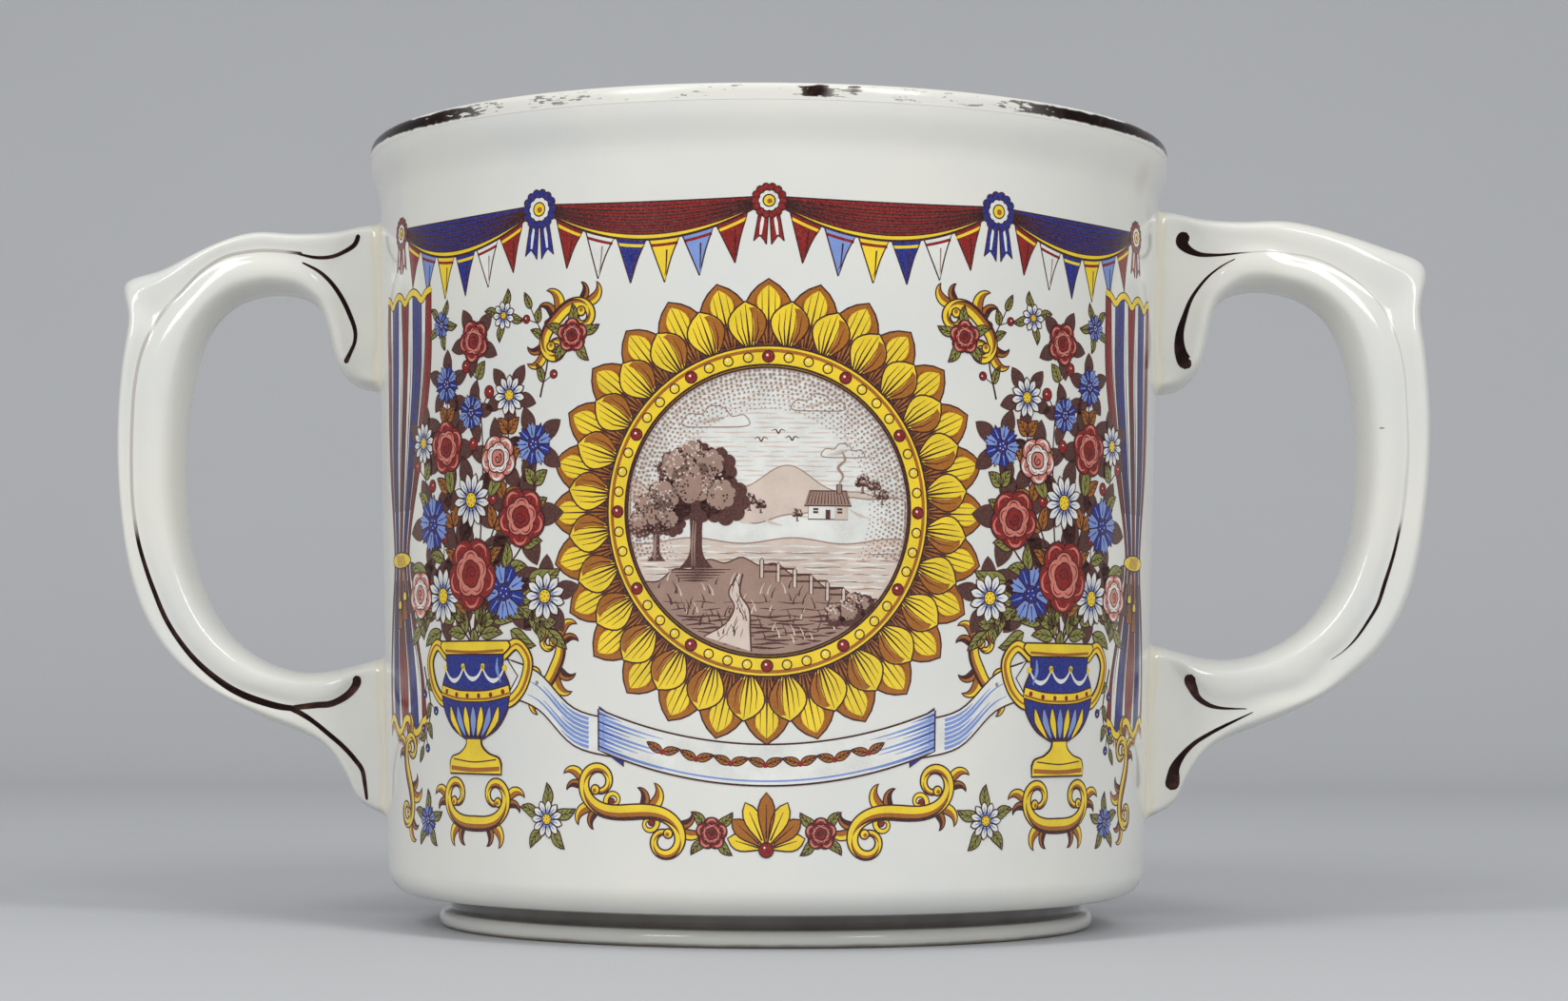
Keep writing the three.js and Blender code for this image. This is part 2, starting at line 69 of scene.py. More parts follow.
def srgb(red: float, green: float, blue: float) -> Colour:
    """Turns a colour as seen on a screen, 0 to 255, into linear light."""

    def linear(channel: float) -> float:
        """Turns one channel into linear light."""
        share = channel / 255
        return share / 12.92 if share <= 0.04045 else ((share + 0.055) / 1.055) ** 2.4

    return (linear(red), linear(green), linear(blue))


def smooth_step(value: Array, low: float, high: float) -> Array:
    """Rises smoothly from 0 at low to 1 at high."""
    share = np.clip((np.asarray(value, float) - low) / (high - low), 0, 1)
    return share * share * (3 - 2 * share)


def mix(a: Any, b: Any, share: Any) -> Any:
    """Goes from a to b by a share."""
    return a + (b - a) * share


def unit(vectors: Array) -> Array:
    """Returns vectors, one per row, at length one."""
    return vectors / np.linalg.norm(vectors, axis=1)[:, None]


def travelled(path: Array) -> Array:
    """Returns the length of a path up to each of its points."""
    return np.concatenate([[0], np.cumsum(np.linalg.norm(np.diff(path, axis=0), axis=1))])


class Socket:
    """A node's output that takes part in Python expressions."""

    def __init__(self, shader: "Shader", link: bpy.types.NodeSocket | None) -> None:
        """Keeps the shader that the output belongs to, and the output."""
        self.shader = shader
        self.link = link

    def _math(self, operation: str, first: Value, second: Value) -> "Socket":
        """Adds a Math node on two values."""
        return self.shader.node("Math", {0: first, 1: second}, operation=operation)

    def __add__(self, other: Value) -> "Socket":
        """Returns self + other."""
        return self._math("ADD", self, other)

    def __radd__(self, other: Value) -> "Socket":
        """Returns other + self."""
        return self._math("ADD", other, self)

    def __sub__(self, other: Value) -> "Socket":
        """Returns self - other."""
        return self._math("SUBTRACT", self, other)

    def __rsub__(self, other: Value) -> "Socket":
        """Returns other - self."""
        return self._math("SUBTRACT", other, self)

    def __mul__(self, other: Value) -> "Socket":
        """Returns self * other."""
        return self._math("MULTIPLY", self, other)

    def __rmul__(self, other: Value) -> "Socket":
        """Returns other * self."""
        return self._math("MULTIPLY", other, self)

    def between(self, low: float, high: float) -> "Socket":
        """Rises smoothly from 0 at low to 1 at high, or falls where low is the larger."""
        ends = {"Value": self, "From Min": min(low, high), "From Max": max(low, high)}
        ends |= {"To Min": float(low > high), "To Max": float(low < high)}
        return self.shader.node("MapRange", ends, interpolation_type="SMOOTHSTEP")


class Shader:
    """A material or a world under construction, with one method that adds any node."""

    def __init__(self, name: str, world: bool = False) -> None:
        """Starts an empty material or world."""
        self.block = (bpy.data.worlds if world else bpy.data.materials).new(name)
        self.block.use_nodes = True
        self.tree = self.block.node_tree
        self.tree.nodes.clear()

    def node(self, kind: str, inputs: Inputs | None = None, output: Key = 0, **settings: Any) -> Socket:
        """Adds a node.

        Args:
            kind: The node's type, without the words that every shader node's type starts with.
            inputs: Values or links of its sockets, by name or number.
            output: The output that is wanted.
            **settings: Its properties, set before its sockets.

        Returns:
            That output, or an empty socket where the node has none.
        """
        made = self.tree.nodes.new(f"ShaderNode{kind}")
        for key, value in settings.items():
            setattr(made, key, value)
        for key, value in (inputs or {}).items():
            if isinstance(value, Socket):
                self.tree.links.new(value.link, made.inputs[key])
            else:
                made.inputs[key].default_value = value
        return Socket(self, made.outputs[output] if made.outputs else None)

    @cached_property
    def place(self) -> Socket:
        """Returns the place on the object, in millimetres."""
        bare = self.node("TexCoord", output="Object")
        return self.node("VectorMath", {0: bare, "Scale": 1 / MM}, operation="SCALE")

    @cached_property
    def axes(self) -> tuple[Socket, ...]:
        """Returns the place's three coordinates, in millimetres."""
        split = self.node("SeparateXYZ", {0: self.place}).link.node
        return tuple(Socket(self, output) for output in split.outputs)

    @cached_property
    def from_axis(self) -> Socket:
        """Returns the distance from the mug's axis, in millimetres."""
        across, depth, _ = self.axes
        flat = self.node("CombineXYZ", {0: across, 1: depth})
        return self.node("VectorMath", {0: flat}, "Value", operation="LENGTH")

    def noise(self, grain: float, detail: float, stretch: Colour = (1, 1, 1), shift: float = 0) -> Socket:
        """Adds noise whose lumps are about a grain across, in millimetres, and may be drawn out."""
        size = tuple(part / grain for part in stretch)
        at = self.node("Mapping", {0: self.place, "Location": (shift, shift, shift), "Scale": size})
        return self.node("TexNoise", {"Vector": at, "Scale": 1.0, "Detail": detail})

    def blend(self, share: Value, first: Value, second: Value) -> Socket:
        """Mixes two colours by a share."""
        return self.node("Mix", {0: share, 6: self.tint(first), 7: self.tint(second)}, 2, data_type="RGBA")

    @staticmethod
    def tint(colour: Value) -> Value:
        """Returns a colour with its alpha, or a link as it is."""
        return colour if isinstance(colour, Socket) else (*colour, 1.0)

    def specks(self, spacing: float, size: float, share: float) -> Socket:
        """Returns a mask of round specks strewn about a spacing apart, only a share of which are kept."""
        near = self.node("TexVoronoi", {"Vector": self.place, "Scale": 1 / spacing}, "Distance")
        draw = self.node("SeparateColor", {0: Socket(self, near.link.node.outputs["Color"])})
        return near.between(size / spacing, 0.55 * size / spacing) * draw.between(1 - share, 1 - 0.98 * share)

    def mark(self, centre: Colour, size: float, softness: float, drawn: float = 1.0) -> Socket:
        """Returns a mask round one point, in millimetres, that may be drawn out along X."""
        at = self.node("VectorMath", {0: self.place, 1: (1 / drawn, 1.0, 1.0)}, operation="MULTIPLY")
        middle = (centre[0] / drawn, centre[1], centre[2])
        gap = self.node("VectorMath", {0: at, 1: middle}, "Value", operation="DISTANCE")
        return gap.between(size, size * (1 - softness))

    def bump(self, strength: float, depth: float, height: Socket) -> Socket:
        """Returns normals bumped by a height, with the depth in millimetres."""
        return self.node("Bump", {"Strength": strength, "Distance": depth * MM, "Height": height})

    def finish(self, colour: Socket, **sockets: Value) -> bpy.types.Material:
        """Adds the surface shader.

        Args:
            colour: The base colour.
            **sockets: Values or links of its other sockets, with underscores for spaces.

        Returns:
            The finished material.
        """
        inputs = {name.replace("_", " "): value for name, value in sockets.items()}
        surface = self.node("BsdfPrincipled", {"Base Color": colour, **inputs})
        self.node("OutputMaterial", {"Surface": surface})
        return self.block


TAN = srgb(166, 128, 92)


@dataclass(frozen=True)
class Mark:
    """A small blemish in the glaze, in millimetres."""

    centre: Colour
    size: float
    strength: float
    softness: float = 0.6
    drawn: float = 1.0
    colour: Colour = TAN


@dataclass(frozen=True)
class Glaze:
    """Glossy white glaze over pale clay, creamier where slip lies under it."""

    name: str
    white: Colour = srgb(228, 227, 219)
    cool: Colour = srgb(221, 222, 218)
    cream: Colour = srgb(222, 214, 188)
    clay: Colour = srgb(176, 152, 118)
    dirt: Colour = srgb(96, 78, 66)
    # colour of the painted shade in the foot's neck
    shade: Colour = srgb(74, 62, 58)
    cream_at: float = 0.0
    cream_end: float = 0.0
    cream_share: float = 0.5
    wall_root: float = 36.7
    wall_lean: float = 0.028
    speck_spacing: float = 5.2
    speck_size: float = 0.16
    speck_share: float = 0.07
    neck_radius: float = 31.2
    neck_low: float = 1.35
    neck_high: float = 3.2
    tint_grain: float = 14.0
    ragged_grain: float = 2.2
    raggedness: float = 0.7
    speck_strength: float = 0.6
    roughness: float = 0.07
    dullness: float = 0.07
    dull_grain: float = 9.0
    ripple_grain: float = 11.0
    pitted_grain: float = 1.4
    pitted_share: float = 0.05
    ripple_strength: float = 0.35
    ripple_depth: float = 0.12
    ior: float = 1.52
    grime_grain: float = 3.4
    grime_strength: float = 0.7
    grime_top: float = 0.5
    grime_full: float = 0.1
    bare_top: float = 0.14
    bare_full: float = 0.04
    marks: tuple[Mark, ...] = ()
    # soils the foot and paints shade into its neck
    foot: bool = False

    def make(self) -> bpy.types.Material:
        """Returns the material."""
        shader = Shader(self.name)
        colour = shader.blend(shader.noise(self.tint_grain, 3).between(0.3, 0.7), self.white, self.cool)
        if self.cream_end:
            off_wall = shader.from_axis - shader.axes[2] * self.wall_lean - self.wall_root
            ragged = off_wall + (shader.noise(self.ragged_grain, 2) - 0.5) * self.raggedness
            pooled = ragged.between(self.cream_end, self.cream_at) * self.cream_share
            colour = shader.blend(pooled, colour, self.cream)
        specks = shader.specks(self.speck_spacing, self.speck_size, self.speck_share)
        colour = shader.blend(specks * self.speck_strength, colour, TAN)
        for mark in self.marks:
            stain = shader.mark(mark.centre, mark.size, mark.softness, mark.drawn)
            colour = shader.blend(stain * mark.strength, colour, mark.colour)
        roughness = self.roughness + shader.noise(self.dull_grain, 2, shift=3) * self.dullness
        if self.foot:
            colour, worn = self.soiled_and_shaded(shader, colour)
            roughness = roughness + worn
        pits = shader.noise(self.pitted_grain, 1, shift=5) * self.pitted_share
        ripple = shader.noise(self.ripple_grain, 2, shift=7) + pits
        normal = shader.bump(self.ripple_strength, self.ripple_depth, ripple - specks * 0.5)
        return shader.finish(colour, Roughness=roughness, Normal=normal, IOR=self.ior)

    def soiled_and_shaded(self, shader: Shader, colour: Socket) -> tuple[Socket, Socket]:
        """Returns the colour with a soiled foot, painted shade in the neck under the body and bare clay
        below, and the added roughness.
        """
        height = shader.axes[2]
        ragged = height + (shader.noise(self.grime_grain, 3) - 0.5) * 0.4
        grime = ragged.between(self.grime_top, self.grime_full)
        colour = shader.blend(grime * self.grime_strength, colour, self.dirt)
        # painted shade: the neck under the body's overhang is darkened where shade would fall
        over, under = (self.neck_low, self.neck_low + 0.35), (self.neck_high, self.neck_high - 0.6)
        neck = height.between(*over) * height.between(*under)
        neck = neck * shader.from_axis.between(self.neck_radius + 0.7, self.neck_radius)
        colour = shader.blend(neck * (shader.noise(5, 2, shift=2) * 0.2 + 0.78), colour, self.shade)
        bare = height.between(self.bare_top, self.bare_full)
        return shader.blend(bare, colour, self.clay), bare * 0.5 + grime * 0.18


@dataclass(frozen=True)
class Gilding:
    """Thin burnished gold whose colour is painted almost black, a painted reflection of a dark room, and
    rubbed to brass at its edges.
    """

    name: str
    # painted reflection: a near-black base colour stands for the dark room the gold would mirror
    dark: Colour = srgb(60, 42, 42)
    brass: Colour = srgb(116, 82, 64)
    under: Colour = srgb(228, 227, 219)
    # worn thin gold, greyed partly as painted shade along the groove
    thin: Colour = srgb(188, 184, 176)
    worn: bool = False
    thin_above: float = 0.0
    band_low: float = 74.85
    band_high: float = 76.08
    front: float = -26.6
    bare_front: float = -33.6
    patch_grain: float = 1.6
    patch_share: float = 0.55
    roughness: float = 0.13
    dullness: float = 0.16
    dull_grain: float = 0.7
    metallic: float = 0.94
    relief: float = 0.3
    relief_depth: float = 0.01

    def make(self) -> bpy.types.Material:
        """Returns the material."""
        shader = Shader(self.name)
        patches = shader.noise(self.patch_grain, 3).between(0.5, 0.72)
        # painted dark reflection, patched with rubbed brass
        colour = shader.blend(patches * self.patch_share, self.dark, self.brass)
        if self.worn:
            gold = self.kept(shader)
            colour = shader.blend(gold, self.under, colour)
        else:
            # up the bow the line turns grey and dull: worn thin gold that is also painted shade in the groove
            height = shader.axes[2] + (shader.noise(3.5, 2, shift=6) - 0.5) * 4
            upper = height.between(self.thin_above - 1, self.thin_above + 1.5)
            gold = 1 - upper * shader.from_axis.between(46, 48)
            colour = shader.blend(gold, self.thin, colour)
        roughness = self.roughness + shader.noise(self.dull_grain, 2, shift=4) * self.dullness
        normal = shader.bump(self.relief, self.relief_depth, patches)
        return shader.finish(colour, Metallic=gold * self.metallic, Roughness=roughness, Normal=normal)

    def kept(self, shader: Shader) -> Socket:
        """Returns where the rim's gold is left: whole at the sides and in flakes at the front."""
        across, depth, height = shader.axes
        front = (depth + across * 0.063).between(self.front, self.bare_front)
        flake = shader.noise(1.1, 4, (0.4, 0.4, 1.7)) * 0.5 + shader.noise(0.4, 3, (0.35, 0.35, 1.8), 2) * 0.5
        height = height - depth.between(-27.0, -10.0) * 0.3
        lower = height + (shader.noise(0.8, 3, shift=9) - 0.5) * 0.35
        upper = height + (shader.noise(1.3, 4, (0.5, 0.5, 1.0), 5) - 0.5) * 0.7
        low = lower.between(self.band_low, self.band_low + 0.2)
        high = upper.between(self.band_high, self.band_high - 0.18)
        patch = shader.mark((3.9, -39.2, 75.8), 2.0, 0.7) * 0.2
        patch = patch + shader.mark((7.6, -38.8, 76.1), 1.1, 0.7) * 0.16
        faint = 1 - front * (1 - patch * 5) * 0.5
        return (flake + patch - (front * 0.26 + 0.32)).between(-0.012, 0.03) * low * high * faint


class Ink(Enum):
    """The fired colours of the print, with their roughness."""

    WHITE = ("white_enamel", srgb(233, 234, 229), 0.12)
    YELLOW = ("golden_yellow_enamel", srgb(247, 214, 44), 0.16)
    OCHRE = ("ochre_enamel", srgb(170, 102, 18), 0.18)
    RED = ("brick_red_enamel", srgb(142, 20, 14), 0.18)
    ROSE = ("rose_enamel", srgb(214, 128, 112), 0.16)
    BLUE = ("royal_blue_enamel", srgb(26, 40, 134), 0.18)
    SKY = ("pale_blue_enamel", srgb(128, 154, 216), 0.16)
    GREEN = ("sage_green_enamel", srgb(138, 142, 62), 0.18)
    PALE_SEPIA = ("pale_sepia_print", srgb(219, 201, 188), 0.16)
    SEPIA = ("sepia_print", srgb(164, 134, 120), 0.18)
    DARK_SEPIA = ("dark_sepia_print", srgb(86, 48, 42), 0.2)
    KEY = ("maroon_keyline_print", srgb(66, 18, 18), 0.22)

    def make(self) -> bpy.types.Material:
        """Returns the ink's material, laid a little unevenly."""
        name, colour, roughness = self.value
        shader = Shader(name)
        thin = tuple(mix(channel, 0.76, 0.1) for channel in colour)
        deep = tuple(channel * 0.8 for channel in colour)
        grain = shader.noise(0.16, 2, shift=1).between(0.3, 0.8)
        tone = shader.blend(shader.noise(2.4, 4).between(0.25, 0.75), deep, colour)
        tone = shader.blend(grain * 0.5, tone, thin)
        rough = roughness - 0.03 + grain * 0.08
        return shader.finish(tone, Roughness=rough, Normal=shader.bump(0.2, 0.004, grain), IOR=1.5)


WHITE, YELLOW, OCHRE, RED, ROSE, BLUE, SKY, GREEN, PALE, SEPIA, DARK, KEY = Ink


@dataclass(frozen=True)
class Paper:
    """Matt studio paper."""

    name: str
    colour: Colour = srgb(196, 198, 202)
    tone_grain: float = 60.0
    fibre_grain: float = 0.8
    roughness: float = 0.85
    sheen: float = 0.2

    def make(self) -> bpy.types.Material:
        """Returns the material."""
        shader = Shader(self.name)
        shade = tuple(0.97 * channel for channel in self.colour)
        tone = shader.blend(shader.noise(self.tone_grain, 3), self.colour, shade)
        fibre = shader.bump(0.1, 0.05, shader.noise(self.fibre_grain, 3))
        return shader.finish(
            tone, Roughness=self.roughness, Normal=fibre, Specular_IOR_Level=self.sheen
        )


def put(name: str, data: Any) -> bpy.types.Object:
    """Puts a mesh, a lamp or a camera into the scene."""
    made = bpy.data.objects.new(name, data)
    bpy.context.scene.collection.objects.link(made)
    return made


@dataclass
class Shape:
    """Points in millimetres, with the faces that join them and, where they matter, their normals."""

    points: Array
    faces: Faces
    normals: Array | None = None
    chart: Array | None = None

    def mesh(self, name: str, crease: float) -> bpy.types.Mesh:
        """Returns the mesh in metres, smooth up to a crease angle in degrees."""
        made = bpy.data.meshes.new(name)
        made.from_pydata((self.points * MM).tolist(), [], self.faces)
        made.validate(clean_customdata=False)
        made.shade_smooth()
        if self.normals is not None:
            made.normals_split_custom_set_from_vertices(self.normals.tolist())
        else:
            made.set_sharp_from_angle(angle=math.radians(crease))
        if self.chart is not None:
            layer = made.uv_layers.new(name="OFBake")
            corners = np.empty(len(made.loops), int)
            made.loops.foreach_get("vertex_index", corners)
            layer.data.foreach_set("uv", self.chart[corners].ravel())
        return made

    def piece(self, name: str, finish: bpy.types.Material, slot: str, node: str, crease: float = 50) -> None:
        """Puts the shape on the mug.

        Args:
            name: The piece's name.
            finish: Its material.
            slot: The record's material slot for it. Not used.
            node: The frame's node that it stands for.
            crease: The angle, in degrees, above which an edge stays sharp.
        """
        made = put(name, self.mesh(name, crease))
        made.data.materials.append(finish)
        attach(made, BODY)
        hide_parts(node)
        LOG.info("%s: %d faces, %s", name, len(made.data.polygons), finish.name)


def turned(profile: Sequence[Sequence[float]], segments: int) -> Shape:
    """Turns a profile about Z.

    Args:
        profile: Radius and height of each point. One that starts on the axis is closed there.
        segments: How many sides a full turn has.

    Returns:
        The turned shape, closed either on the axis or as a ring.
    """
    angles = np.linspace(0, TURN, segments, endpoint=False)
    circle = np.stack([np.sin(angles), -np.cos(angles)], 1)
    points: list[Array] = []
    starts: list[Array] = []
    total = 0
    for radius, height in profile:
        ring = radius * circle if radius else np.zeros((1, 2))
        points.append(np.column_stack([ring, np.full(len(ring), height)]))
        starts.append(total + np.arange(segments) if radius else np.full(segments, total))
        total += len(ring)
    after_last = starts[:1] if profile[0][0] else []
    faces: Faces = []
    for low, high in zip(starts, starts[1:] + after_last):
        quads = np.stack([low, np.roll(low, -1), np.roll(high, -1), high], 1)
        faces += [tuple(dict.fromkeys(quad)) for quad in quads.tolist()]
    return Shape(np.concatenate(points), faces)


def tube(rings: int, size: int, start: int = 0, closed: bool = False) -> Faces:
    """Returns the faces over rings of points, closed by the end rings or by running round to the first."""
    around = np.arange(size)
    after = (around + 1) % size
    faces: Faces = []
    for ring in range(rings if closed else rings - 1):
        low, high = start + ring * size, start + (ring + 1) % rings * size
        quads = np.stack([low + around, low + after, high + after, high + around], 1)
        faces += [tuple(quad) for quad in quads.tolist()]
    if not closed:
        end = start + (rings - 1) * size
        faces += [tuple(range(start, start + size))[::-1], tuple(range(end, end + size))]
    return faces


def facing_out(shape: Shape) -> Shape:
    """Turns every closed part of a shape to face outwards."""
    made = bmesh.new()
    vertices = [made.verts.new(p) for p in shape.points.tolist()]
    for face in shape.faces:
        made.faces.new([vertices[v] for v in face])
    bmesh.ops.recalc_face_normals(made, faces=made.faces)
    made.verts.index_update()
    faces = [tuple(v.index for v in face.verts) for face in made.faces]
    made.free()
    return Shape(shape.points, faces)


def arc(centre: Sequence[float], across: float, up: float, start: float, end: float, steps: int) -> list[Any]:
    """Returns points of an elliptical arc, in degrees from the outward direction."""
    angles = np.radians(np.linspace(start, end, steps + 1))
    return [(centre[0] + across * math.cos(a), centre[1] + up * math.sin(a)) for a in angles]


@dataclass(frozen=True)
class Wall:
    """The form of the mug's wall, which the handles, the gilding and the print follow."""

    height: float = 76.3
    rim_radius: float = 39.5
    lip_thickness: float = 2.3
    lip_round: float = 1.1
    lip_depth: float = 1.9
    flare_height: float = 6.3
    flare_width: float = 1.02
    upright_height: float = 18.0
    upright_taper: float = 0.18
    lower_taper: float = 1.3
    thickness: float = 2.7
    bend_reach: float = 8.0
    underside: float = 3.1
    corner: float = 2.6
    floor_top: float = 7.2
    floor_corner: float = 5.0

    @property
    def flare_start(self) -> float:
        """Returns the height at which the flare starts."""
        return self.height - self.flare_height

    @property
    def lip_start(self) -> float:
        """Returns the height at which the round of the lip starts."""
        return self.height - self.lip_round

    @property
    def bend(self) -> float:
        """Returns the height at which the taper changes."""
        return self.flare_start - self.upright_height

    @property
    def corner_top(self) -> float:
        """Returns the height at which the wall rises from its lower corner."""
        return self.underside + self.corner

    @property
    def top_radius(self) -> float:
        """Returns the outer radius where the flare starts."""
        return self.rim_radius - self.flare_width

    @property
    def bottom_radius(self) -> float:
        """Returns the outer radius above the lower corner."""
        return self.top_radius - self.upright_taper - self.lower_taper

    def radius(self, height: Any) -> Array:
        """Returns the outer radius at heights, with the change of taper softened."""
        z = np.asarray(height, float)
        reach = self.bend_reach
        lower = self.lower_taper / (self.bend - self.corner_top)
        upper = self.upright_taper / self.upright_height
        above = np.minimum(z, self.flare_start) - self.bend
        eased = np.where(above > reach, above, np.clip(above + reach, 0, None) ** 2 / (4 * reach))
        straight = self.top_radius - self.upright_taper + lower * above + (upper - lower) * eased
        flare = smooth_step(z, self.flare_start + 0.3, self.height - self.lip_depth)
        return straight + self.flare_width * flare

    def normal(self, height: Any) -> tuple[Array, Array]:
        """Returns the outward and upward parts of the wall's normal at heights."""
        slope = (self.radius(np.asarray(height) + 0.05) - self.radius(np.asarray(height) - 0.05)) / 0.1
        length = np.sqrt(1 + slope**2)
        return 1 / length, -slope / length


@dataclass
class Cup:
    """The jiggered body with its foot ring, and the gold band on its lip."""

    wall: Wall
    foot_radius: float = 32.0
    foot_width: float = 3.6
    flange_height: float = 1.6
    neck_depth: float = 1.1
    neck_fillet: float = 0.45
    edge_round: float = 0.75
    recess: float = 3.3
    dome: float = 0.35
    inner_flare: float = 1.42
    lip_squareness: float = 0.62
    band_drop: float = 0.5
    band_end: float = 62.0
    band_lift: float = 0.025
    band_root: float = -0.05
    segments: int = 288

    def foot(self) -> list[Any]:
        """Returns the profile of the underside and foot ring, from the axis outwards."""
        wall, edge, fillet = self.wall, self.edge_round, self.neck_fillet
        inner = self.foot_radius - self.foot_width
        neck = self.foot_radius - self.neck_depth
        centre = self.foot_radius - edge
        under = np.linspace(2, inner - 2 * edge, 14)
        shoulder = np.linspace(neck + 2 * fillet, wall.bottom_radius - wall.corner - 0.3, 4)
        return [
            (0, self.recess + self.dome),
            *[(r, self.recess + self.dome * (1 - (r / inner) ** 2)) for r in under],
            *arc((inner - edge, self.recess - edge), edge, edge, 90, 0, 6),
            *arc((inner + edge / 2, edge / 2), edge / 2, edge / 2, 180, 270, 5),
            *[(r, 0) for r in np.linspace(inner + edge, centre - edge / 2, 5)],
            *arc((centre, edge), edge, edge, -90, 0, 8),
            *arc((centre, self.flange_height - edge), edge, edge, 0, 72, 7),
            *arc((neck + fillet, self.flange_height + fillet - 0.04), fillet, fillet, 258, 180, 5),
            *arc((neck + fillet, wall.underside - fillet), fillet, fillet, 180, 90, 5),
            *[(r, wall.underside) for r in shoulder],
        ]

    def lip(self, lift: float, end: float, steps: int) -> list[Any]:
        """Returns the squared round of the lip from its outer side to an angle, lifted off the glaze."""
        wall = self.wall
        half = wall.lip_thickness / 2
        turn = np.radians(np.linspace(0, end, steps + 1))
        across = np.sign(np.cos(turn)) * np.abs(np.cos(turn)) ** self.lip_squareness
        up = np.abs(np.sin(turn)) ** self.lip_squareness
        radii = wall.rim_radius - half + (half + lift) * across
        return list(zip(radii.tolist(), (wall.lip_start + (wall.lip_round + lift) * up).tolist()))

    def side(self, low: float, high: float, steps: int, lift: float) -> list[Any]:
        """Returns the wall's profile between two heights, lifted off its outer face."""
        return [(float(self.wall.radius(z)) + lift, z) for z in np.linspace(low, high, steps)]

    def profile(self) -> list[Any]:
        """Returns the whole profile, from the axis below round the rim to the axis above."""
        wall, top = self.wall, self.wall.lip_start
        inner_top = wall.top_radius - wall.thickness
        inner_bottom = wall.bottom_radius - wall.thickness
        flare = np.linspace(1, 0, 24)[1:]
        floor_middle = wall.floor_top + wall.floor_corner
        floor = (inner_bottom - wall.floor_corner, floor_middle)
        corner = (wall.bottom_radius - wall.corner, wall.corner_top)
        return [
            *self.foot(),
            *arc(corner, wall.corner, wall.corner, -90, 0, 14),
            *self.side(wall.corner_top + 0.4, top - 0.12, 138, 0),
            *self.lip(0, 180, 36),
            *[(inner_top + self.inner_flare * t * t, mix(wall.flare_start, top, t)) for t in flare],
            *self.side(wall.flare_start, floor_middle, 40, -wall.thickness)[1:-1],
            *arc(floor, wall.floor_corner, wall.floor_corner, 0, -90, 14),
            *[(r, wall.floor_top) for r in np.linspace(inner_bottom - wall.floor_corner - 2, 2, 10)],
            (0, wall.floor_top),
        ]

    def body(self) -> None:
        """Builds the body."""
        marks = (
            Mark((35.3, -15.6, 71.6), 2.6, 0.15, 0.9),
            Mark((36.6, -12.0, 68.4), 1.9, 0.16, 0.9),
            Mark((-19.6, -31.9, 6.9), 0.32, 0.55),
            Mark((-17.4, -33.1, 9.4), 0.26, 0.5),
            Mark((18.3, -32.7, 9.9), 0.28, 0.5),
        )
        glaze = Glaze("white_glaze_on_body", foot=True, marks=marks).make()
        turned(self.profile(), self.segments).piece("cup_body", glaze, "glazed_earthenware", "mug_body", 40)

    def rim_band(self) -> None:
        """Builds the gold band, a skin over the outside of the lip."""
        top = self.wall.lip_start
        inner, outer = (
            self.side(top - self.band_drop, top - 0.1, 5, lift) + self.lip(lift, self.band_end, 14)
            for lift in (self.band_root, self.band_lift)
        )
        gold = Gilding("worn_rim_gold", worn=True).make()
        turned(outer + inner[::-1], self.segments).piece("rim_gold_band", gold, "gilding", "rim_gilding")

    def build(self) -> None:
        """Builds the body and its band."""
        self.body()
        self.rim_band()


def rounded_path(points: Array, places: Array) -> Array:
    """Returns places along a centripetal Catmull-Rom curve.

    Args:
        points: The points it passes through, one per row.
        places: Where to read it, counted in points from the first.

    Returns:
        One row per place.
    """
    padded = np.array([2 * points[0] - points[1], *points, 2 * points[-1] - points[-2]])
    index = np.clip(np.floor(places).astype(int), 0, len(points) - 2)
    share = (places - index)[:, None]
    p0, p1, p2, p3 = (padded[index + k] for k in range(4))
    gaps = (np.linalg.norm(b - a, axis=1) for a, b in ((p0, p1), (p1, p2), (p2, p3)))
    d0, d1, d2 = (np.maximum(np.sqrt(gap), 1e-4)[:, None] for gap in gaps)
    m1 = ((p1 - p0) / d0 - (p2 - p0) / (d0 + d1) + (p2 - p1) / d1) * d1
    m2 = ((p2 - p1) / d1 - (p3 - p1) / (d1 + d2) + (p3 - p2) / d2) * d1
    cubic = 2 * p1 - 2 * p2 + m1 + m2
    square = -3 * p1 + 3 * p2 - 2 * m1 - m2
    return p1 + share * (m1 + share * (square + share * cubic))


Stroke = tuple[tuple[float, float, float], ...]


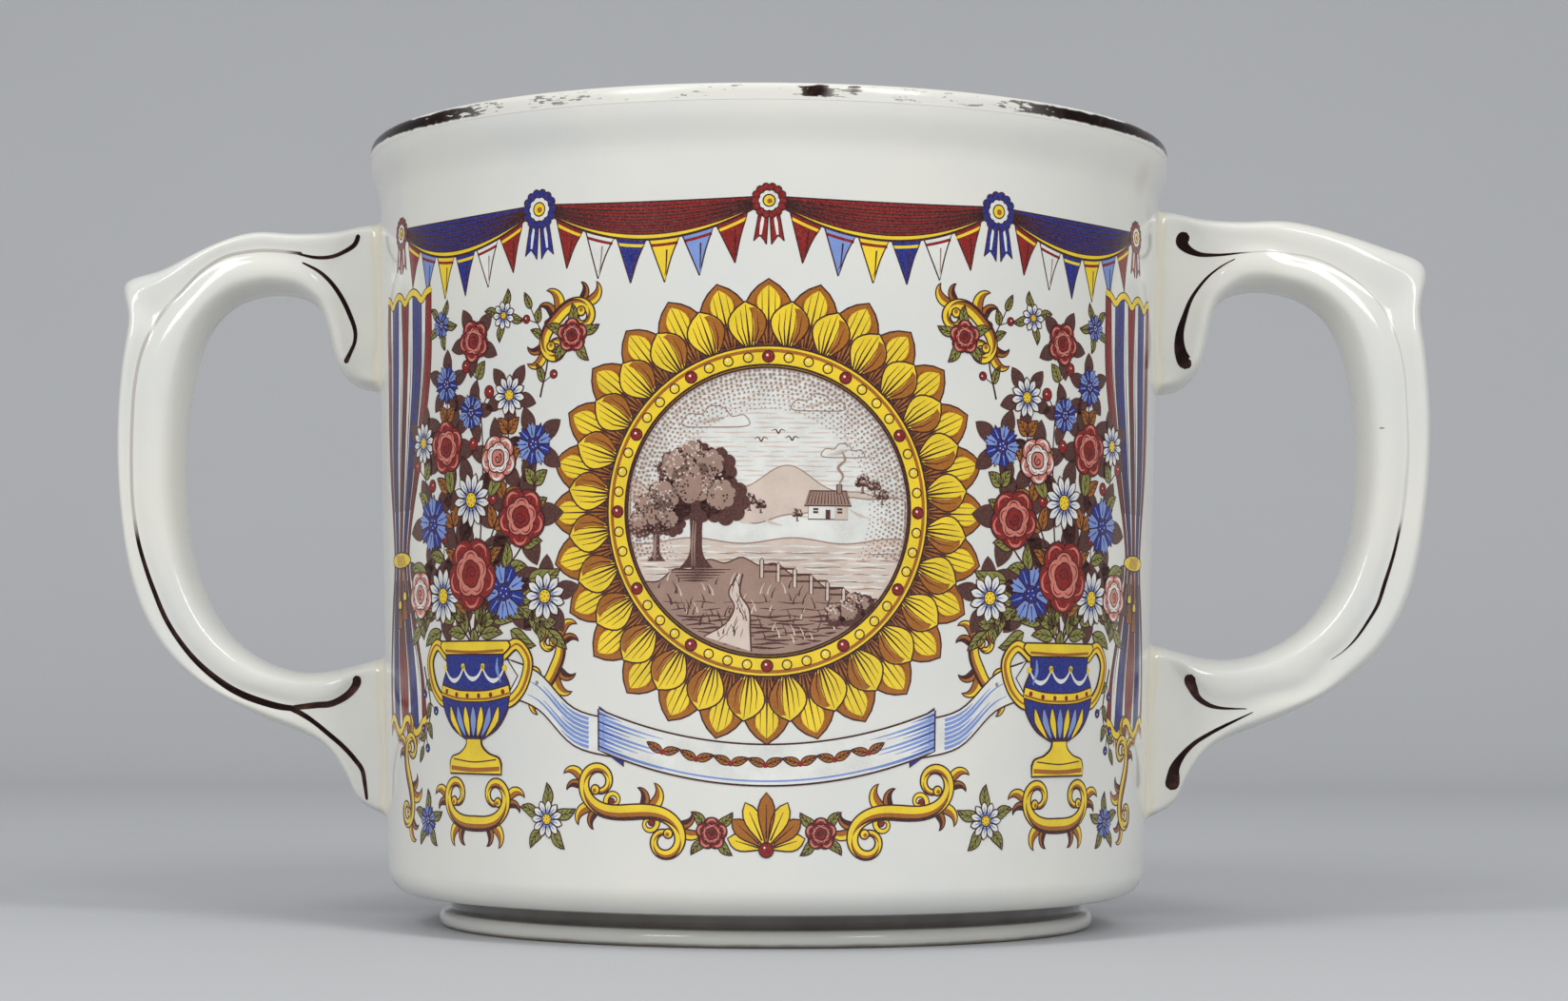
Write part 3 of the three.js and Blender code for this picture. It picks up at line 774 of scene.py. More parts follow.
@dataclass
class Handle:
    """A cast scroll handle with its slip and its gold lines. Sections run from its upper to its lower end.

    A stroke of gold is given as (distance from the mug's axis, height, width) at each of its points.
    """

    name: str
    side: int
    crest_drop: float
    shoulder_drop: float
    spur_drop: float
    top_thickness: float
    bow_thickness: float
    bead_width: float
    projection: float
    sill: float
    groove: Stroke
    strokes: tuple[Stroke, ...]
    thin_above: float
    # worn thin gold up the bow, greyed partly as painted shade in the groove
    thin_gold_and_groove_shade: Colour
    wall: Wall
    half_depth: float = 4.5
    bead_half_depth: float = 4.2
    groove_half_depth: float = 3.7
    groove_width: float = 0.9
    arm_width: float = 2.4
    lower_bead_width: float = 1.4
    tip_projection: float = 2.8
    tip_round: float = 0.9
    spur_projection: float = 2.3
    spur_half_depth: float = 3.4
    pad_foot_drop: float = 23.6
    upper_reach: float = 8.6
    lower_reach: float = 12.8
    heel: float = 18.1
    upper_neck: float = 7.3
    spur: float = 11.0
    lower_neck: float = 19.3
    last: float = 25.0
    steps: int = 12
    trim: float = 1.0
    slip_reach: float = 0.95
    slip_rings: int = 8
    slip_swell: float = 0.012
    slip_root: float = 0.5
    slip_tuck: float = 0.4
    gold_lift: float = 0.03
    gold_root: float = 0.03
    gold_edge: float = 0.02
    gold_step: float = 0.16
    smoothing: float = 0.25
    rounds_across: int = 5
    rounds_along: int = 10
    marks: tuple[Mark, ...] = ()

    def outlines(self) -> tuple[list[Any], list[Any]]:
        """Returns the stations of the outer and inner outlines, as distances from the axis and heights."""
        crest = self.wall.height - self.crest_drop
        arch = crest - self.top_thickness
        foot = self.wall.height - self.pad_foot_drop
        sill, heel = self.sill, self.heel
        upper, lower = self.wall.top_radius, self.wall.bottom_radius
        reach = upper + self.projection
        pad, base = self.upper_reach, self.lower_reach

        def near(x: float, y: float, size: float, *shares: Any) -> list[Any]:
            """Returns points round a place, as shares of a size."""
            return [(x + size * out, y + size * up) for out, up in shares]

        def bow(left: float, right: float, low: float, high: float, *shares: Any) -> list[Any]:
            """Returns points of the bow, as shares of its width and its height."""
            return [(mix(left, right, out), mix(low, high, up)) for out, up in shares]

        drops = (0.39 * self.shoulder_drop, self.shoulder_drop, self.spur_drop)
        shoulder, low_shoulder, spur = (1 - drop / (crest - heel) for drop in drops)
        outer_bow = (
            (0.24, 1), (0.49, shoulder), (0.765, low_shoulder), (0.99, spur), (0.95, 0.831), (0.98, 0.735),
            (1, 0.608), (0.973, 0.449), (0.89, 0.284), (0.727, 0.176), (0.497, 0.102),
        )
        inner_bow = (
            (0, 1), (0.22, 1), (0.53, 0.973), (0.754, 0.914), (0.88, 0.832), (0.937, 0.757),
            (0.98, 0.668), (1, 0.546), (0.966, 0.378), (0.83, 0.232), (0.56, 0.105), (0.21, 0.032),
        )
        outer_foot = (
            (1, 0.148), (0.672, 0.023), (0.484, -0.086), (0.344, -0.281),
            (0.242, -0.484), (0.047, -0.594), (-0.312, -0.672),
        )
        inner_foot = (
            (0.703, 0), (0.453, 0.016), (0.234, 0.07), (-0.039, 0.117),
            (-0.312, -0.039), (-0.391, -0.469), (-0.391, -0.859),
        )
        outer = [
            *near(upper, foot, pad, (-0.581, 0.349), (-0.581, 0.581), (-0.581, 0.872), (-0.581, 1.395)),
            *near(upper, crest, pad, (-0.523, -0.058), (0.047, 0.105), (0.512, 0.012), (1, -0.017)),
            *bow(upper + pad, reach, heel, crest, *outer_bow),
            *near(lower, heel, base, *outer_foot),
        ]
        inner = [
            *near(upper, foot, pad, (-0.465, -0.012), (0.233, -0.012), (0.488, 0.221), (0.593, 0.581)),
            *near(upper, arch, pad, (0.651, -0.314), (0.733, -0.151), (0.884, -0.047)),
            *bow(upper + 1.081 * pad, reach - self.bow_thickness, sill, arch, *inner_bow),
            *near(lower, sill, base, *inner_foot),
        ]
        return outer, inner

    @cached_property
    def sections(self) -> dict[str, Array]:
        """Returns what each section is made from: its outlines and the widths of its roll and its bead."""
        place = np.arange(0, self.last * self.steps + 1) / self.steps
        outer, inner = (rounded_path(np.array(stations), place) for stations in self.outlines())
        across = outer - inner
        thickness = np.linalg.norm(across, axis=1)
        across = across / thickness[:, None]
        open_upper = 1 - smooth_step(place, self.upper_neck - 2, self.upper_neck)
        open_lower = smooth_step(place, self.lower_neck, self.lower_neck + 2)
        web = np.maximum(open_upper, open_lower)

        def slant(path: Array) -> Array:
            """Returns how squarely the sections cross an outline, where the arms open."""
            along = unit(np.gradient(path, axis=0))
            crossing = np.abs(across[:, 0] * along[:, 1] - across[:, 1] * along[:, 0])
            return mix(1, np.maximum(0.45, crossing), web)

        bead_slant, roll_slant = slant(outer), slant(inner)
        spur = 1 - smooth_step(np.abs(place - self.spur), 0, 1.5)
        bead = mix(mix(self.bead_width, self.arm_width, open_upper), self.lower_bead_width, open_lower)
        bead = bead / bead_slant + self.spur_projection * spur
        drawn = thickness - self.groove_inset(inner, across, thickness) - self.groove_width / bead_slant / 2
        between_necks = smooth_step(place, self.upper_neck, self.upper_neck + 1)
        between_necks = between_necks * (1 - smooth_step(place, self.lower_neck - 1.2, self.lower_neck - 0.2))
        bead = mix(bead, drawn, between_necks)
        closed = thickness - bead - self.groove_width / bead_slant
        roll = mix(closed, np.minimum(self.arm_width / roll_slant, closed), web)
        edges = {"inner": inner, "across": across, "thickness": thickness}
        return edges | {"bead": bead, "roll": roll, "spur": spur}

    def groove_inset(self, inner: Array, across: Array, thickness: Array) -> Array:
        """Returns how far from the inner outline the painted line crosses each section."""
        rows = np.array(self.groove)[:, :2]
        path = rounded_path(rows, np.linspace(0, len(rows) - 1, 600))
        gap = path[None] - inner[:, None]
        ahead = np.sum(gap * across[:, None], axis=2)
        aside = np.abs(gap[..., 0] * across[:, None, 1] - gap[..., 1] * across[:, None, 0])
        aside[(ahead < 0) | (ahead > thickness[:, None])] = np.inf
        return ahead[np.arange(len(inner)), np.argmin(aside, axis=1)]

    def proud(self, from_inner: Array) -> Array:
        """Returns how far an arm stands up at each section: it ends in a rounded tip short of the wall."""
        crest = self.sections["inner"] + self.sections["across"] * from_inner[:, None]
        projection = crest[:, 0] - self.wall.radius(crest[:, 1])
        middle = self.tip_projection
        return smooth_step(projection, middle - self.tip_round, middle + self.tip_round)

    @cached_property
    def rings(self) -> Array:
        """Returns the casting's surface, as [section, place round it, coordinate], on the handle's side."""
        inner, across, thickness, bead, roll, spur = self.sections.values()
        roll_crest, bead_crest = roll / 2, thickness - bead / 2
        floor = np.full(len(roll), self.groove_half_depth)
        roll_depth = mix(floor, self.half_depth, self.proud(roll_crest))
        bead_outer = mix(self.bead_half_depth, self.spur_half_depth, spur)
        bead_depth = mix(floor, bead_outer, self.proud(bead_crest))
        bead_floor = np.minimum(floor, bead_depth)

        def bow(centre: Any, low: Any, wide: Any, deep: Any, angles: Any) -> Array:
            """Returns an elliptical arc of every section, in degrees."""
            turn = np.radians(angles)[None, :]
            x = centre[:, None] + wide[:, None] * np.cos(turn)
            y = np.broadcast_to(low, centre.shape)[:, None] + deep[:, None] * np.sin(turn)
            return np.stack([x, y], 2)

        arcs = (
            bow(roll_crest, 0.0, roll_crest, roll_depth, np.linspace(180, 90, 15)),
            bow(roll_crest, floor, roll - roll_crest, roll_depth - floor, np.linspace(90, 0, 7)[1:]),
            bow(bead_crest, bead_floor, bead / 2, bead_depth - bead_floor, np.linspace(180, 90, 5)),
            bow(bead_crest, 0.0, bead / 2, bead_depth, np.linspace(90, 0, 12)[1:]),
        )
        half = np.concatenate(arcs, axis=1)
        path = inner[:, None, :] + across[:, None, :] * half[:, :, :1]
        front = np.stack([path[:, :, 0], -half[:, :, 1], path[:, :, 1]], 2)
        back = front[:, -2:0:-1] * np.array([1, -1, 1])
        rings = np.concatenate([front, back], axis=1)
        for _ in range(self.rounds_across):
            rings = rings + self.smoothing * (np.roll(rings, 1, 1) + np.roll(rings, -1, 1) - 2 * rings)
        for _ in range(self.rounds_along):
            beside = rings[2:] + rings[:-2]
            rings[1:-1] = rings[1:-1] + self.smoothing * (beside - 2 * rings[1:-1])
        rings[:, :, 0] *= self.side
        return rings

    def above_wall(self, points: Array) -> Array:
        """Returns how far points are outside the wall."""
        return np.hypot(points[..., 0], points[..., 1]) - self.wall.radius(points[..., 2])

    def casting(self) -> Shape:
        """Returns the casting, drawn back to just inside the wall where it would run on."""
        count, size, _ = self.rings.shape
        points = self.rings.reshape(-1, 3).copy()
        short = np.minimum(self.above_wall(points) + self.trim, 0)
        flat = points[:, :2] / np.hypot(points[:, 0], points[:, 1])[:, None]
        points[:, :2] -= flat * short[:, None]
        faces = tube(count, size)
        return Shape(points, [face[::-1] for face in faces] if self.side > 0 else faces)

    def slip(self, upper: bool) -> Shape:
        """Returns the fillet of slip round one pad, from the handle's surface down to the wall."""
        rings = self.rings if upper else self.rings[::-1]
        size = rings.shape[1]
        above = self.above_wall(rings)
        roots = np.empty((size, 3))
        risen = np.empty((size, 3))
        for j in range(size):
            first = int(np.argmax(above[:, j] > 0))
            share = above[first - 1, j] / (above[first - 1, j] - above[first, j])
            roots[j] = mix(rings[first - 1, j], rings[first, j], share)
            line = np.vstack([roots[j], rings[first : first + 60, j]])
            risen[j] = [np.interp(self.slip_reach, travelled(line), line[:, k]) for k in range(3)]
        out, up = self.wall.normal(roots[:, 2])
        flat = roots[:, :2] / np.hypot(roots[:, 0], roots[:, 1])[:, None]
        square = np.column_stack([flat * out[:, None], up])
        aside = unit(np.cross(np.roll(roots, -1, 0) - np.roll(roots, 1, 0), square))
        aside *= np.sign(np.sum(aside * (roots - roots.mean(0)), axis=1))[:, None]
        spread = roots + aside * self.slip_reach
        spread[:, :2] *= (self.wall.radius(spread[:, 2]) / np.hypot(spread[:, 0], spread[:, 1]))[:, None]
        sections = []
        for share in np.linspace(0, 1, self.slip_rings):
            curve = (1 - share) ** 2 * risen + 2 * share * (1 - share) * roots + share**2 * spread
            sections.append(curve + square * self.slip_swell * math.sin(math.pi * share))
        sections.append(roots - square * self.slip_root - aside * self.slip_tuck)
        return facing_out(Shape(np.concatenate(sections), tube(len(sections), size, closed=True)))

    def gilded(self, ground: BVHTree, face: int) -> Shape:
        """Returns the gold strokes of one face, as skins that follow the glaze under them."""
        points: list[Vector] = []
        faces: Faces = []
        for stroke in (self.groove, *self.strokes):
            rows = np.array(stroke)
            run = travelled(rows[:, :2])
            even = np.interp(np.arange(0, run[-1], self.gold_step), run, np.arange(len(rows)))
            path = rounded_path(rows, even)
            done = travelled(path[:, :2])
            half = path[:, 2] / 2
            gaps = (np.clip(1 - length / half, 0, 1) for length in (done, done[-1] - done))
            start_cap, end_cap = (np.sqrt(np.clip(1 - gap**2, 0, 1)) for gap in gaps)
            half = np.maximum(half * np.minimum(start_cap, end_cap), self.gold_edge)
            along = unit(np.gradient(path[:, :2], axis=0))
            square = np.column_stack([-along[:, 1], along[:, 0]])
            start = len(points)
            for at, aside, reach in zip(path, square, half):
                places = (at[:2] + aside * reach * k for k in (-1, -0.5, 0, 0.5, 1))
                row = [self.painted_point(ground, place, face) for place in places]
                if all(row):
                    points += [above for above, _ in row] + [under for _, under in row[::-1]]
            faces += tube((len(points) - start) // 10, 10, start)
        return facing_out(Shape(np.array([tuple(p) for p in points]), faces))

    def painted_point(self, ground: BVHTree, at: Array, face: int) -> tuple[Vector, Vector] | None:
        """Returns the points just above and just under the glaze at a place on one face."""
        start = Vector((self.side * at[0], face * 12.0, at[1]))
        hit, normal, _, _ = ground.ray_cast(start, Vector((0, -face, 0)))
        if hit is None or hit.y * face < 0:
            return None
        if normal.y * face < 0:
            normal = -normal
        return hit + normal * self.gold_lift, hit - normal * self.gold_root

    def build(self) -> None:
        """Builds and dresses the casting, its slip and its gold lines."""
        name = self.name
        casting = self.casting()
        glaze = Glaze(f"white_glaze_on_{name}", cream_at=0.2, cream_end=1.3, marks=self.marks).make()
        casting.piece(f"{name}_casting", glaze, "glazed_earthenware", name, 80)
        slip = Glaze(f"cream_slip_on_{name}", cream_at=0.9, cream_end=2.2).make()
        for end in ("upper", "lower"):
            fillet = self.slip(end == "upper")
            fillet.piece(f"{name}_{end}_fillet", slip, "glazed_slip", f"{name}_{end}_slip", 70)
        ground = BVHTree.FromPolygons(casting.points.tolist(), casting.faces)
        gold = Gilding(f"gold_on_{name}", thin=self.thin_gold_and_groove_shade, thin_above=self.thin_above).make()
        for face, word in ((-1, "front"), (1, "back")):
            skin = self.gilded(ground, face)
            skin.piece(f"{name}_{word}_gold", gold, "gilding", f"{name}_{word}_gilding", 60)


def oval(across: float, sides: int, up: float | None = None) -> Array:
    """Returns an oval, as x + yj."""
    turn = np.linspace(0, TURN, sides, endpoint=False)
    return across * np.cos(turn) + 1j * (across if up is None else up) * np.sin(turn)


def lobed(radius: float, lobes: int, depth: float, turn: float = 0.0) -> Array:
    """Returns a round outline of equal lobes."""
    angle = np.linspace(0, TURN, lobes * 10, endpoint=False)
    reach = 1 - depth + depth * np.abs(np.cos(lobes * angle / 2)) ** 0.7
    return radius * reach * np.exp(1j * (angle + math.radians(turn)))


def ring(radius: float, count: int) -> list[complex]:
    """Returns points at even steps round the origin."""
    return [radius * np.exp(2j * math.pi * k / count) for k in range(count)]


def petal(length: float, width: float, swell: float, sides: int = 9) -> Array:
    """Returns a petal that points along x, widest near its tip where swell is above 1."""
    share = np.linspace(0, 1, sides)
    half = width / 2 * np.sin(math.pi * share**swell) ** 0.8
    upper = share * length + 1j * half
    return np.concatenate([upper, np.conj(upper[-2:0:-1])])


def row(*points: complex) -> Array:
    """Returns a line straight through points given as x + yj."""
    return np.array(points)


def form(*points: complex, closed: bool = False, steps: int = 6) -> Array:
    """Returns a smooth line through points given as x + yj."""
    line = np.array(points, complex)
    count = len(line)
    if closed:
        line = np.concatenate([line[-2:], line, line[:3]])
        places = 2 + np.arange(count * steps) / steps
    else:
        places = np.linspace(0, count - 1, (count - 1) * steps + 1)
    path = rounded_path(np.column_stack([line.real, line.imag]), places)
    return path[:, 0] + 1j * path[:, 1]


def both_sides(right: Array) -> Array:
    """Returns the closed outline whose right side is given from top to bottom."""
    return np.concatenate([right, -np.conj(right[::-1])])


def curl(radius: float, turns: float, shrink: float) -> Array:
    """Returns a spiral that leaves the origin along x and curls to the left."""
    turn = np.linspace(0, TURN * turns, int(26 * turns))
    return 1j * radius + radius * shrink ** (turn / TURN) * np.exp(1j * (turn - math.pi / 2))


Flat = list[tuple[int, list[complex]]]


@dataclass
class Sheet:
    """The print while it is still flat: inked faces, with the level at which each lies over the others."""

    wall: Wall
    around: float = 38.0
    grid: tuple[float, float] = (1, 4)
    first_lift: float = 0.008
    level_lift: float = 0.0035
    root: float = -0.02
    reach: float = 52.0
    slack: float = 1e-7
    least_area: float = 1e-6
    inked: dict[Ink, Flat] = field(default_factory=dict)

    def polygon(self, ink: Ink, outline: Array, level: int) -> None:
        """Inks an area."""
        corners = [Vector((p.real, p.imag, 0)) for p in outline]
        faces = self.inked.setdefault(ink, [])
        for triangle in tessellate_polygon([corners]):
            faces.append((level, [complex(outline[v]) for v in triangle]))

    def strip(self, ink: Ink, left: Array, right: Array, level: int, closed: bool) -> None:
        """Inks the strip between two lines."""
        faces = self.inked.setdefault(ink, [])
        count = len(left)
        for i in range(count if closed else count - 1):
            k = (i + 1) % count
            faces.append((level, [complex(p) for p in (left[i], left[k], right[k], right[i])]))

    @staticmethod
    def clipped(face: list[complex], line: float, upright: bool, low: bool) -> list[complex]:
        """Returns the part of a convex face on one side of a line.

        Args:
            face: The face's corners.
            line: Where the line crosses its axis.
            upright: Whether the line is one of constant x.
            low: Whether the lower side is kept.

        Returns:
            The corners of what is left.
        """
        sign = 1 if low else -1
        gaps = [sign * (line - (p.real if upright else p.imag)) for p in face]
        kept: list[complex] = []
        for i, point in enumerate(face):
            after = (i + 1) % len(face)
            if gaps[i] >= 0:
                kept.append(point)
            if (gaps[i] > 0) != (gaps[after] > 0) and gaps[i] != 0 and gaps[after] != 0:
                crossing = point + (face[after] - point) * (gaps[i] / (gaps[i] - gaps[after]))
                kept.append(complex(line, crossing.imag) if upright else complex(crossing.real, line))
        return kept

    def cut(self, faces: Flat, upright: bool) -> Flat:
        """Cuts convex faces at every line of the grid in one direction."""
        step = self.grid[0] if upright else self.grid[1]
        done: Flat = []
        for level, face in faces:
            ends = [p.real if upright else p.imag for p in face]
            first = math.floor(min(ends) / step + self.slack) + 1
            last = math.ceil(max(ends) / step - self.slack) - 1
            for line in range(first, last + 1):
                done.append((level, self.clipped(face, line * step, upright, True)))
                face = self.clipped(face, line * step, upright, False)
            done.append((level, face))
        return [(level, face) for level, face in done if len(face) > 2]

    def laid(self, flat: Array, lift: Array) -> tuple[Array, Array]:
        """Lays flat points on the wall.

        Args:
            flat: Points as [distance round the wall, height].
            lift: How far each is off the glaze.

        Returns:
            Points and normals. Between the lines of the grid points are on straight facets, so that every
            level keeps its distance from the next.
        """
        across, up = self.grid
        column = np.floor(flat[:, 0] / across)
        storey = np.floor(flat[:, 1] / up)
        share = flat[:, 0] / across - column
        before, after = column * across / self.around, (column + 1) * across / self.around
        sine = mix(np.sin(before), np.sin(after), share)
        cosine = mix(np.cos(before), np.cos(after), share)
        below, above = self.wall.radius(storey * up), self.wall.radius((storey + 1) * up)
        radius = mix(below, above, flat[:, 1] / up - storey) + lift
        out, rise = self.wall.normal(flat[:, 1])
        turn = flat[:, 0] / self.around
        points = np.column_stack([radius * sine, -radius * cosine, flat[:, 1]])
        return points, np.column_stack([out * np.sin(turn), -out * np.cos(turn), rise])

    def shape(self, ink: Ink, start: float, end: float) -> Shape:
        """Returns what an ink covers between two upright lines, with edges that run down into the glaze."""
        known: dict[tuple[float, float, int], int] = {}
        faces: Faces = []
        edges: dict[tuple[int, int], None] = {}
        for level, face in self.cut(self.cut(self.inked[ink], True), False):
            if not start < sum(face).real / len(face) < end:
                continue
            keys = list(dict.fromkeys((round(p.real, 5), round(p.imag, 5), level) for p in face))
            area = sum(a[0] * b[1] - b[0] * a[1] for a, b in zip(keys, keys[1:] + keys[:1]))
            if len(keys) < 3 or abs(area) < self.least_area:
                continue
            indices = [known.setdefault(key, len(known)) for key in (keys if area > 0 else keys[::-1])]
            faces.append(tuple(indices))
            edges |= dict.fromkeys(zip(indices, indices[1:] + indices[:1]))
        table = np.array(list(known))
        lift = self.first_lift + self.level_lift * table[:, 2]
        top, normals = self.laid(table[:, :2], lift)
        foot, _ = self.laid(table[:, :2], np.full(len(table), self.root))
        count = len(table)
        faces += [(a, a + count, b + count, b) for a, b in edges if (b, a) not in edges]
        chart = (table[:, :2] + (self.reach, 0)) / (2 * self.reach)
        return Shape(np.vstack([top, foot]), faces, np.vstack([normals] * 2), np.vstack([chart] * 2))


Width = float | Sequence[float]


@dataclass(frozen=True)
class Pen:
    """A place on the sheet, with a direction, a size and a level, from which shapes are drawn."""

    sheet: Sheet
    origin: complex = 0j
    turn: complex = 1 + 0j
    mirrored: bool = False
    level: int = 0

    def place(self, points: Any) -> Array:
        """Returns points of the pen's own frame on the sheet."""
        own = np.asarray(points, complex)
        return self.origin + self.turn * (-np.conj(own) if self.mirrored else own)

    def at(self, x: float, y: float, angle: float = 0, size: float = 1, flip: bool = False) -> "Pen":
        """Returns a pen at a place in this pen's frame, turned, sized and perhaps mirrored left to right."""
        spin = size * np.exp(1j * math.radians(angle))
        turn = self.turn * (np.conj(spin) if self.mirrored else spin)
        origin = complex(self.place(complex(x, y)))
        return replace(self, origin=origin, turn=turn, mirrored=self.mirrored != flip)

    def over(self, levels: int) -> "Pen":
        """Returns the same pen some levels higher."""
        return replace(self, level=self.level + levels)

    def halves(self) -> tuple["Pen", "Pen"]:
        """Returns the same pen, and one mirrored left to right."""
        return self.at(0, 0), self.at(0, 0, flip=True)

    def line(self, ink: Ink, points: Any, width: Width, closed: bool = False) -> None:
        """Draws a line, whose width may be given at even steps along it."""
        path = self.place(points)
        ahead = np.roll(path, -1) - np.roll(path, 1) if closed else np.gradient(path)
        ahead = ahead / np.maximum(np.abs(ahead), 1e-9)
        widths = np.atleast_1d(width)
        count = max(len(widths), 2)
        half = np.interp(np.linspace(0, 1, len(path)), np.linspace(0, 1, count), np.resize(widths, count)) / 2
        side = 1j * ahead * half
        self.sheet.strip(ink, path + side, path - side, self.level, closed)

    def fill(self, ink: Ink, outline: Any, edge: float, edge_ink: Ink = KEY) -> None:
        """Fills an outline and draws its edge a level higher."""
        self.sheet.polygon(ink, self.place(outline), self.level)
        if edge:
            self.over(1).line(edge_ink, outline, edge, closed=True)

    def key(self, points: Any, width: Width) -> None:
        """Draws a keyline a level higher."""
        self.over(1).line(KEY, points, width)

    def braid(self, points: Any, width: Width, core: Width) -> None:
        """Draws a golden line with dark edges."""
        self.line(KEY, points, width)
        self.over(1).line(YELLOW, points, core)

    def between(self, ink: Ink, left: Any, right: Any) -> None:
        """Inks the strip between two lines."""
        self.sheet.strip(ink, self.place(left), self.place(right), self.level, False)

    def dots(self, ink: Ink, centres: Iterable[complex], radius: float, sides: int = 7) -> None:
        """Draws round dots."""
        disc = oval(radius, sides)
        for centre in centres:
            self.sheet.polygon(ink, self.place(disc + centre), self.level)


@dataclass(frozen=True)
class Leaf:
    """A pointed leaf with its veins, lying along x."""

    length: float
    width: float
    ink: Ink = GREEN
    bend: float = 0.15

    def draw(self, pen: Pen) -> None:
        """Draws the leaf."""
        share = np.linspace(0, 1, 10)
        spine = share * self.length + 1j * self.bend * self.length * np.sin(math.pi * share) * share
        half = self.width / 2 * np.sin(math.pi * share**0.75) ** 0.9
        outline = np.concatenate([spine + 1j * half, (spine - 1j * half)[-2:0:-1]])
        pen.fill(self.ink, outline, 0.11)
        pen.key(spine, (0.12, 0.05))
        for k in (3, 5, 7):
            for sign in (1, -1):
                tip = spine[k] + complex(0.12 * self.length, sign * 0.62 * half[k])
                pen.key([spine[k - 1], (spine[k - 1] + tip) / 2, tip], 0.07)


@dataclass(frozen=True)
class Rose:
    """A full rose of three rings of petals."""

    radius: float
    outer: Ink = RED
    inner: Ink = ROSE

    def draw(self, pen: Pen) -> None:
        """Draws the rose."""
        r = self.radius
        pen.fill(self.outer, lobed(r, 5, 0.16, 18), 0.14)
        for k in range(5):
            own = pen.at(0, 0, 72 * k + 18)
            own.key(r * form(0.35 + 0.38j, 0.62 + 0.5j, 0.7 + 0.52j), (0.16, 0.08))
            light = r * form(0.66 - 0.3j, 0.86 - 0.14j, 0.88 + 0.12j, 0.72 + 0.28j)
            own.over(1).line(self.inner, light, (0.06, 0.26, 0.06))
            own.key(r * row(0.62, 0.7, 0.8), (0.14, 0.04))
        middle = pen.over(2)
        middle.fill(self.inner, lobed(0.66 * r, 5, 0.15, 54), 0.13)
        for k in range(5):
            own = middle.at(0, 0, 72 * k + 54)
            shade = r * form(0.4 - 0.2j, 0.55 - 0.08j, 0.55 + 0.1j, 0.42 + 0.2j)
            own.over(1).line(self.outer, shade, (0.05, 0.18, 0.05))
        heart = pen.over(4)
        heart.fill(self.outer, lobed(0.38 * r, 4, 0.12, 20), 0.12)
        heart.key((curl(0.24 * r, 1.4, 0.35) - 0.2j * r) * 1j, (0.16, 0.1))


@dataclass(frozen=True)
class Daisy:
    """A daisy with white petals and a yellow eye."""

    radius: float
    petals: int = 12

    def draw(self, pen: Pen) -> None:
        """Draws the daisy."""
        r = self.radius
        width = 2.1 * math.pi * 0.66 * r / self.petals * 0.96
        for k in range(self.petals):
            own = pen.at(0, 0, 360 * k / self.petals)
            own.fill(WHITE, petal(0.78 * r, width, 1.5, 7) + 0.22 * r, 0.11)
            own.over(2).line(SKY, r * row(0.32, 0.5, 0.72), (0.24, 0.05))
        centre = pen.over(3)
        centre.fill(YELLOW, oval(0.29 * r, 18), 0.12)
        centre.over(2).dots(OCHRE, [*ring(0.19 * r, 7), 0], 0.075)


@dataclass(frozen=True)
class Cornflower:
    """A cornflower of fringed blue florets."""

    radius: float
    florets: int = 9

    def draw(self, pen: Pen) -> None:
        """Draws the cornflower."""
        r = self.radius
        side = row(0.12 - 0.02j, 0.78 - 0.3j, 0.8 - 0.16j, 0.98 - 0.12j)
        fringe = r * np.concatenate([side, [0.84], np.conj(side[::-1])])
        for k in range(self.florets):
            own = pen.at(0, 0, 360 * k / self.florets)
            own.fill(BLUE if k % 2 else SKY, fringe, 0.1)
            own.over(2).line(SKY if k % 2 else BLUE, r * row(0.4, 0.6, 0.84), (0.16, 0.05))
        pen.over(3).fill(BLUE, lobed(0.3 * r, 7, 0.2), 0.1)
        pen.over(5).dots(WHITE, ring(0.14 * r, 5), 0.06)


@dataclass(frozen=True)
class Posy:
    """A flower on a fan of leaves."""

    flower: Rose | Daisy | Cornflower
    leaves: int = 5
    turn: float = 18.0

    def draw(self, pen: Pen) -> None:
        """Draws the leaves, then the flower."""
        size = self.flower.radius
        for k in range(self.leaves):
            own = pen.at(0, 0, 360 * k / self.leaves + self.turn).at(0.55 * size, 0)
            Leaf(1.35 * size, 0.62 * size).draw(own)
        self.flower.draw(pen.over(3))


@dataclass(frozen=True)
class Spray:
    """A stem with pairs of leaves or berries, drawn along a smooth path."""

    path: tuple[complex, ...]
    size: float
    berries: Ink | None
    pairs: int = 4
    ink: Ink = GREEN

    def draw(self, pen: Pen) -> None:
        """Draws the spray."""
        stem = form(*self.path)
        pen.line(KEY, stem, (0.2, 0.1))
        for k in range(self.pairs):
            i = int((k + 1) / (self.pairs + 0.4) * (len(stem) - 1))
            ahead = math.degrees(np.angle(stem[i] - stem[i - 1]))
            for sign in (1, -1):
                own = pen.over(1).at(stem[i].real, stem[i].imag, ahead + 42 * sign)
                if self.berries is not None and (k + (sign > 0)) % 2:
                    own.line(KEY, row(0, 0.6, 1.1) * self.size * 0.5, 0.09)
                    own.fill(self.berries, oval(0.2 * self.size, 14) + 0.68 * self.size, 0.1)
                    own.over(2).dots(WHITE, [0.72 * self.size + 0.05j], 0.08)
                else:
                    Leaf(self.size * (1 - 0.07 * k), 0.4 * self.size, self.ink, -0.1 * sign).draw(own)
        end = stem[-1]
        tip = pen.over(1).at(end.real, end.imag, math.degrees(np.angle(end - stem[-2])))
        Leaf(0.9 * self.size, 0.38 * self.size, self.ink, 0).draw(tip)


class Bend(Enum):
    """How a scroll's two ends curl: to the same side or to opposite sides."""

    SAME = "same"
    OPPOSITE = "opposite"


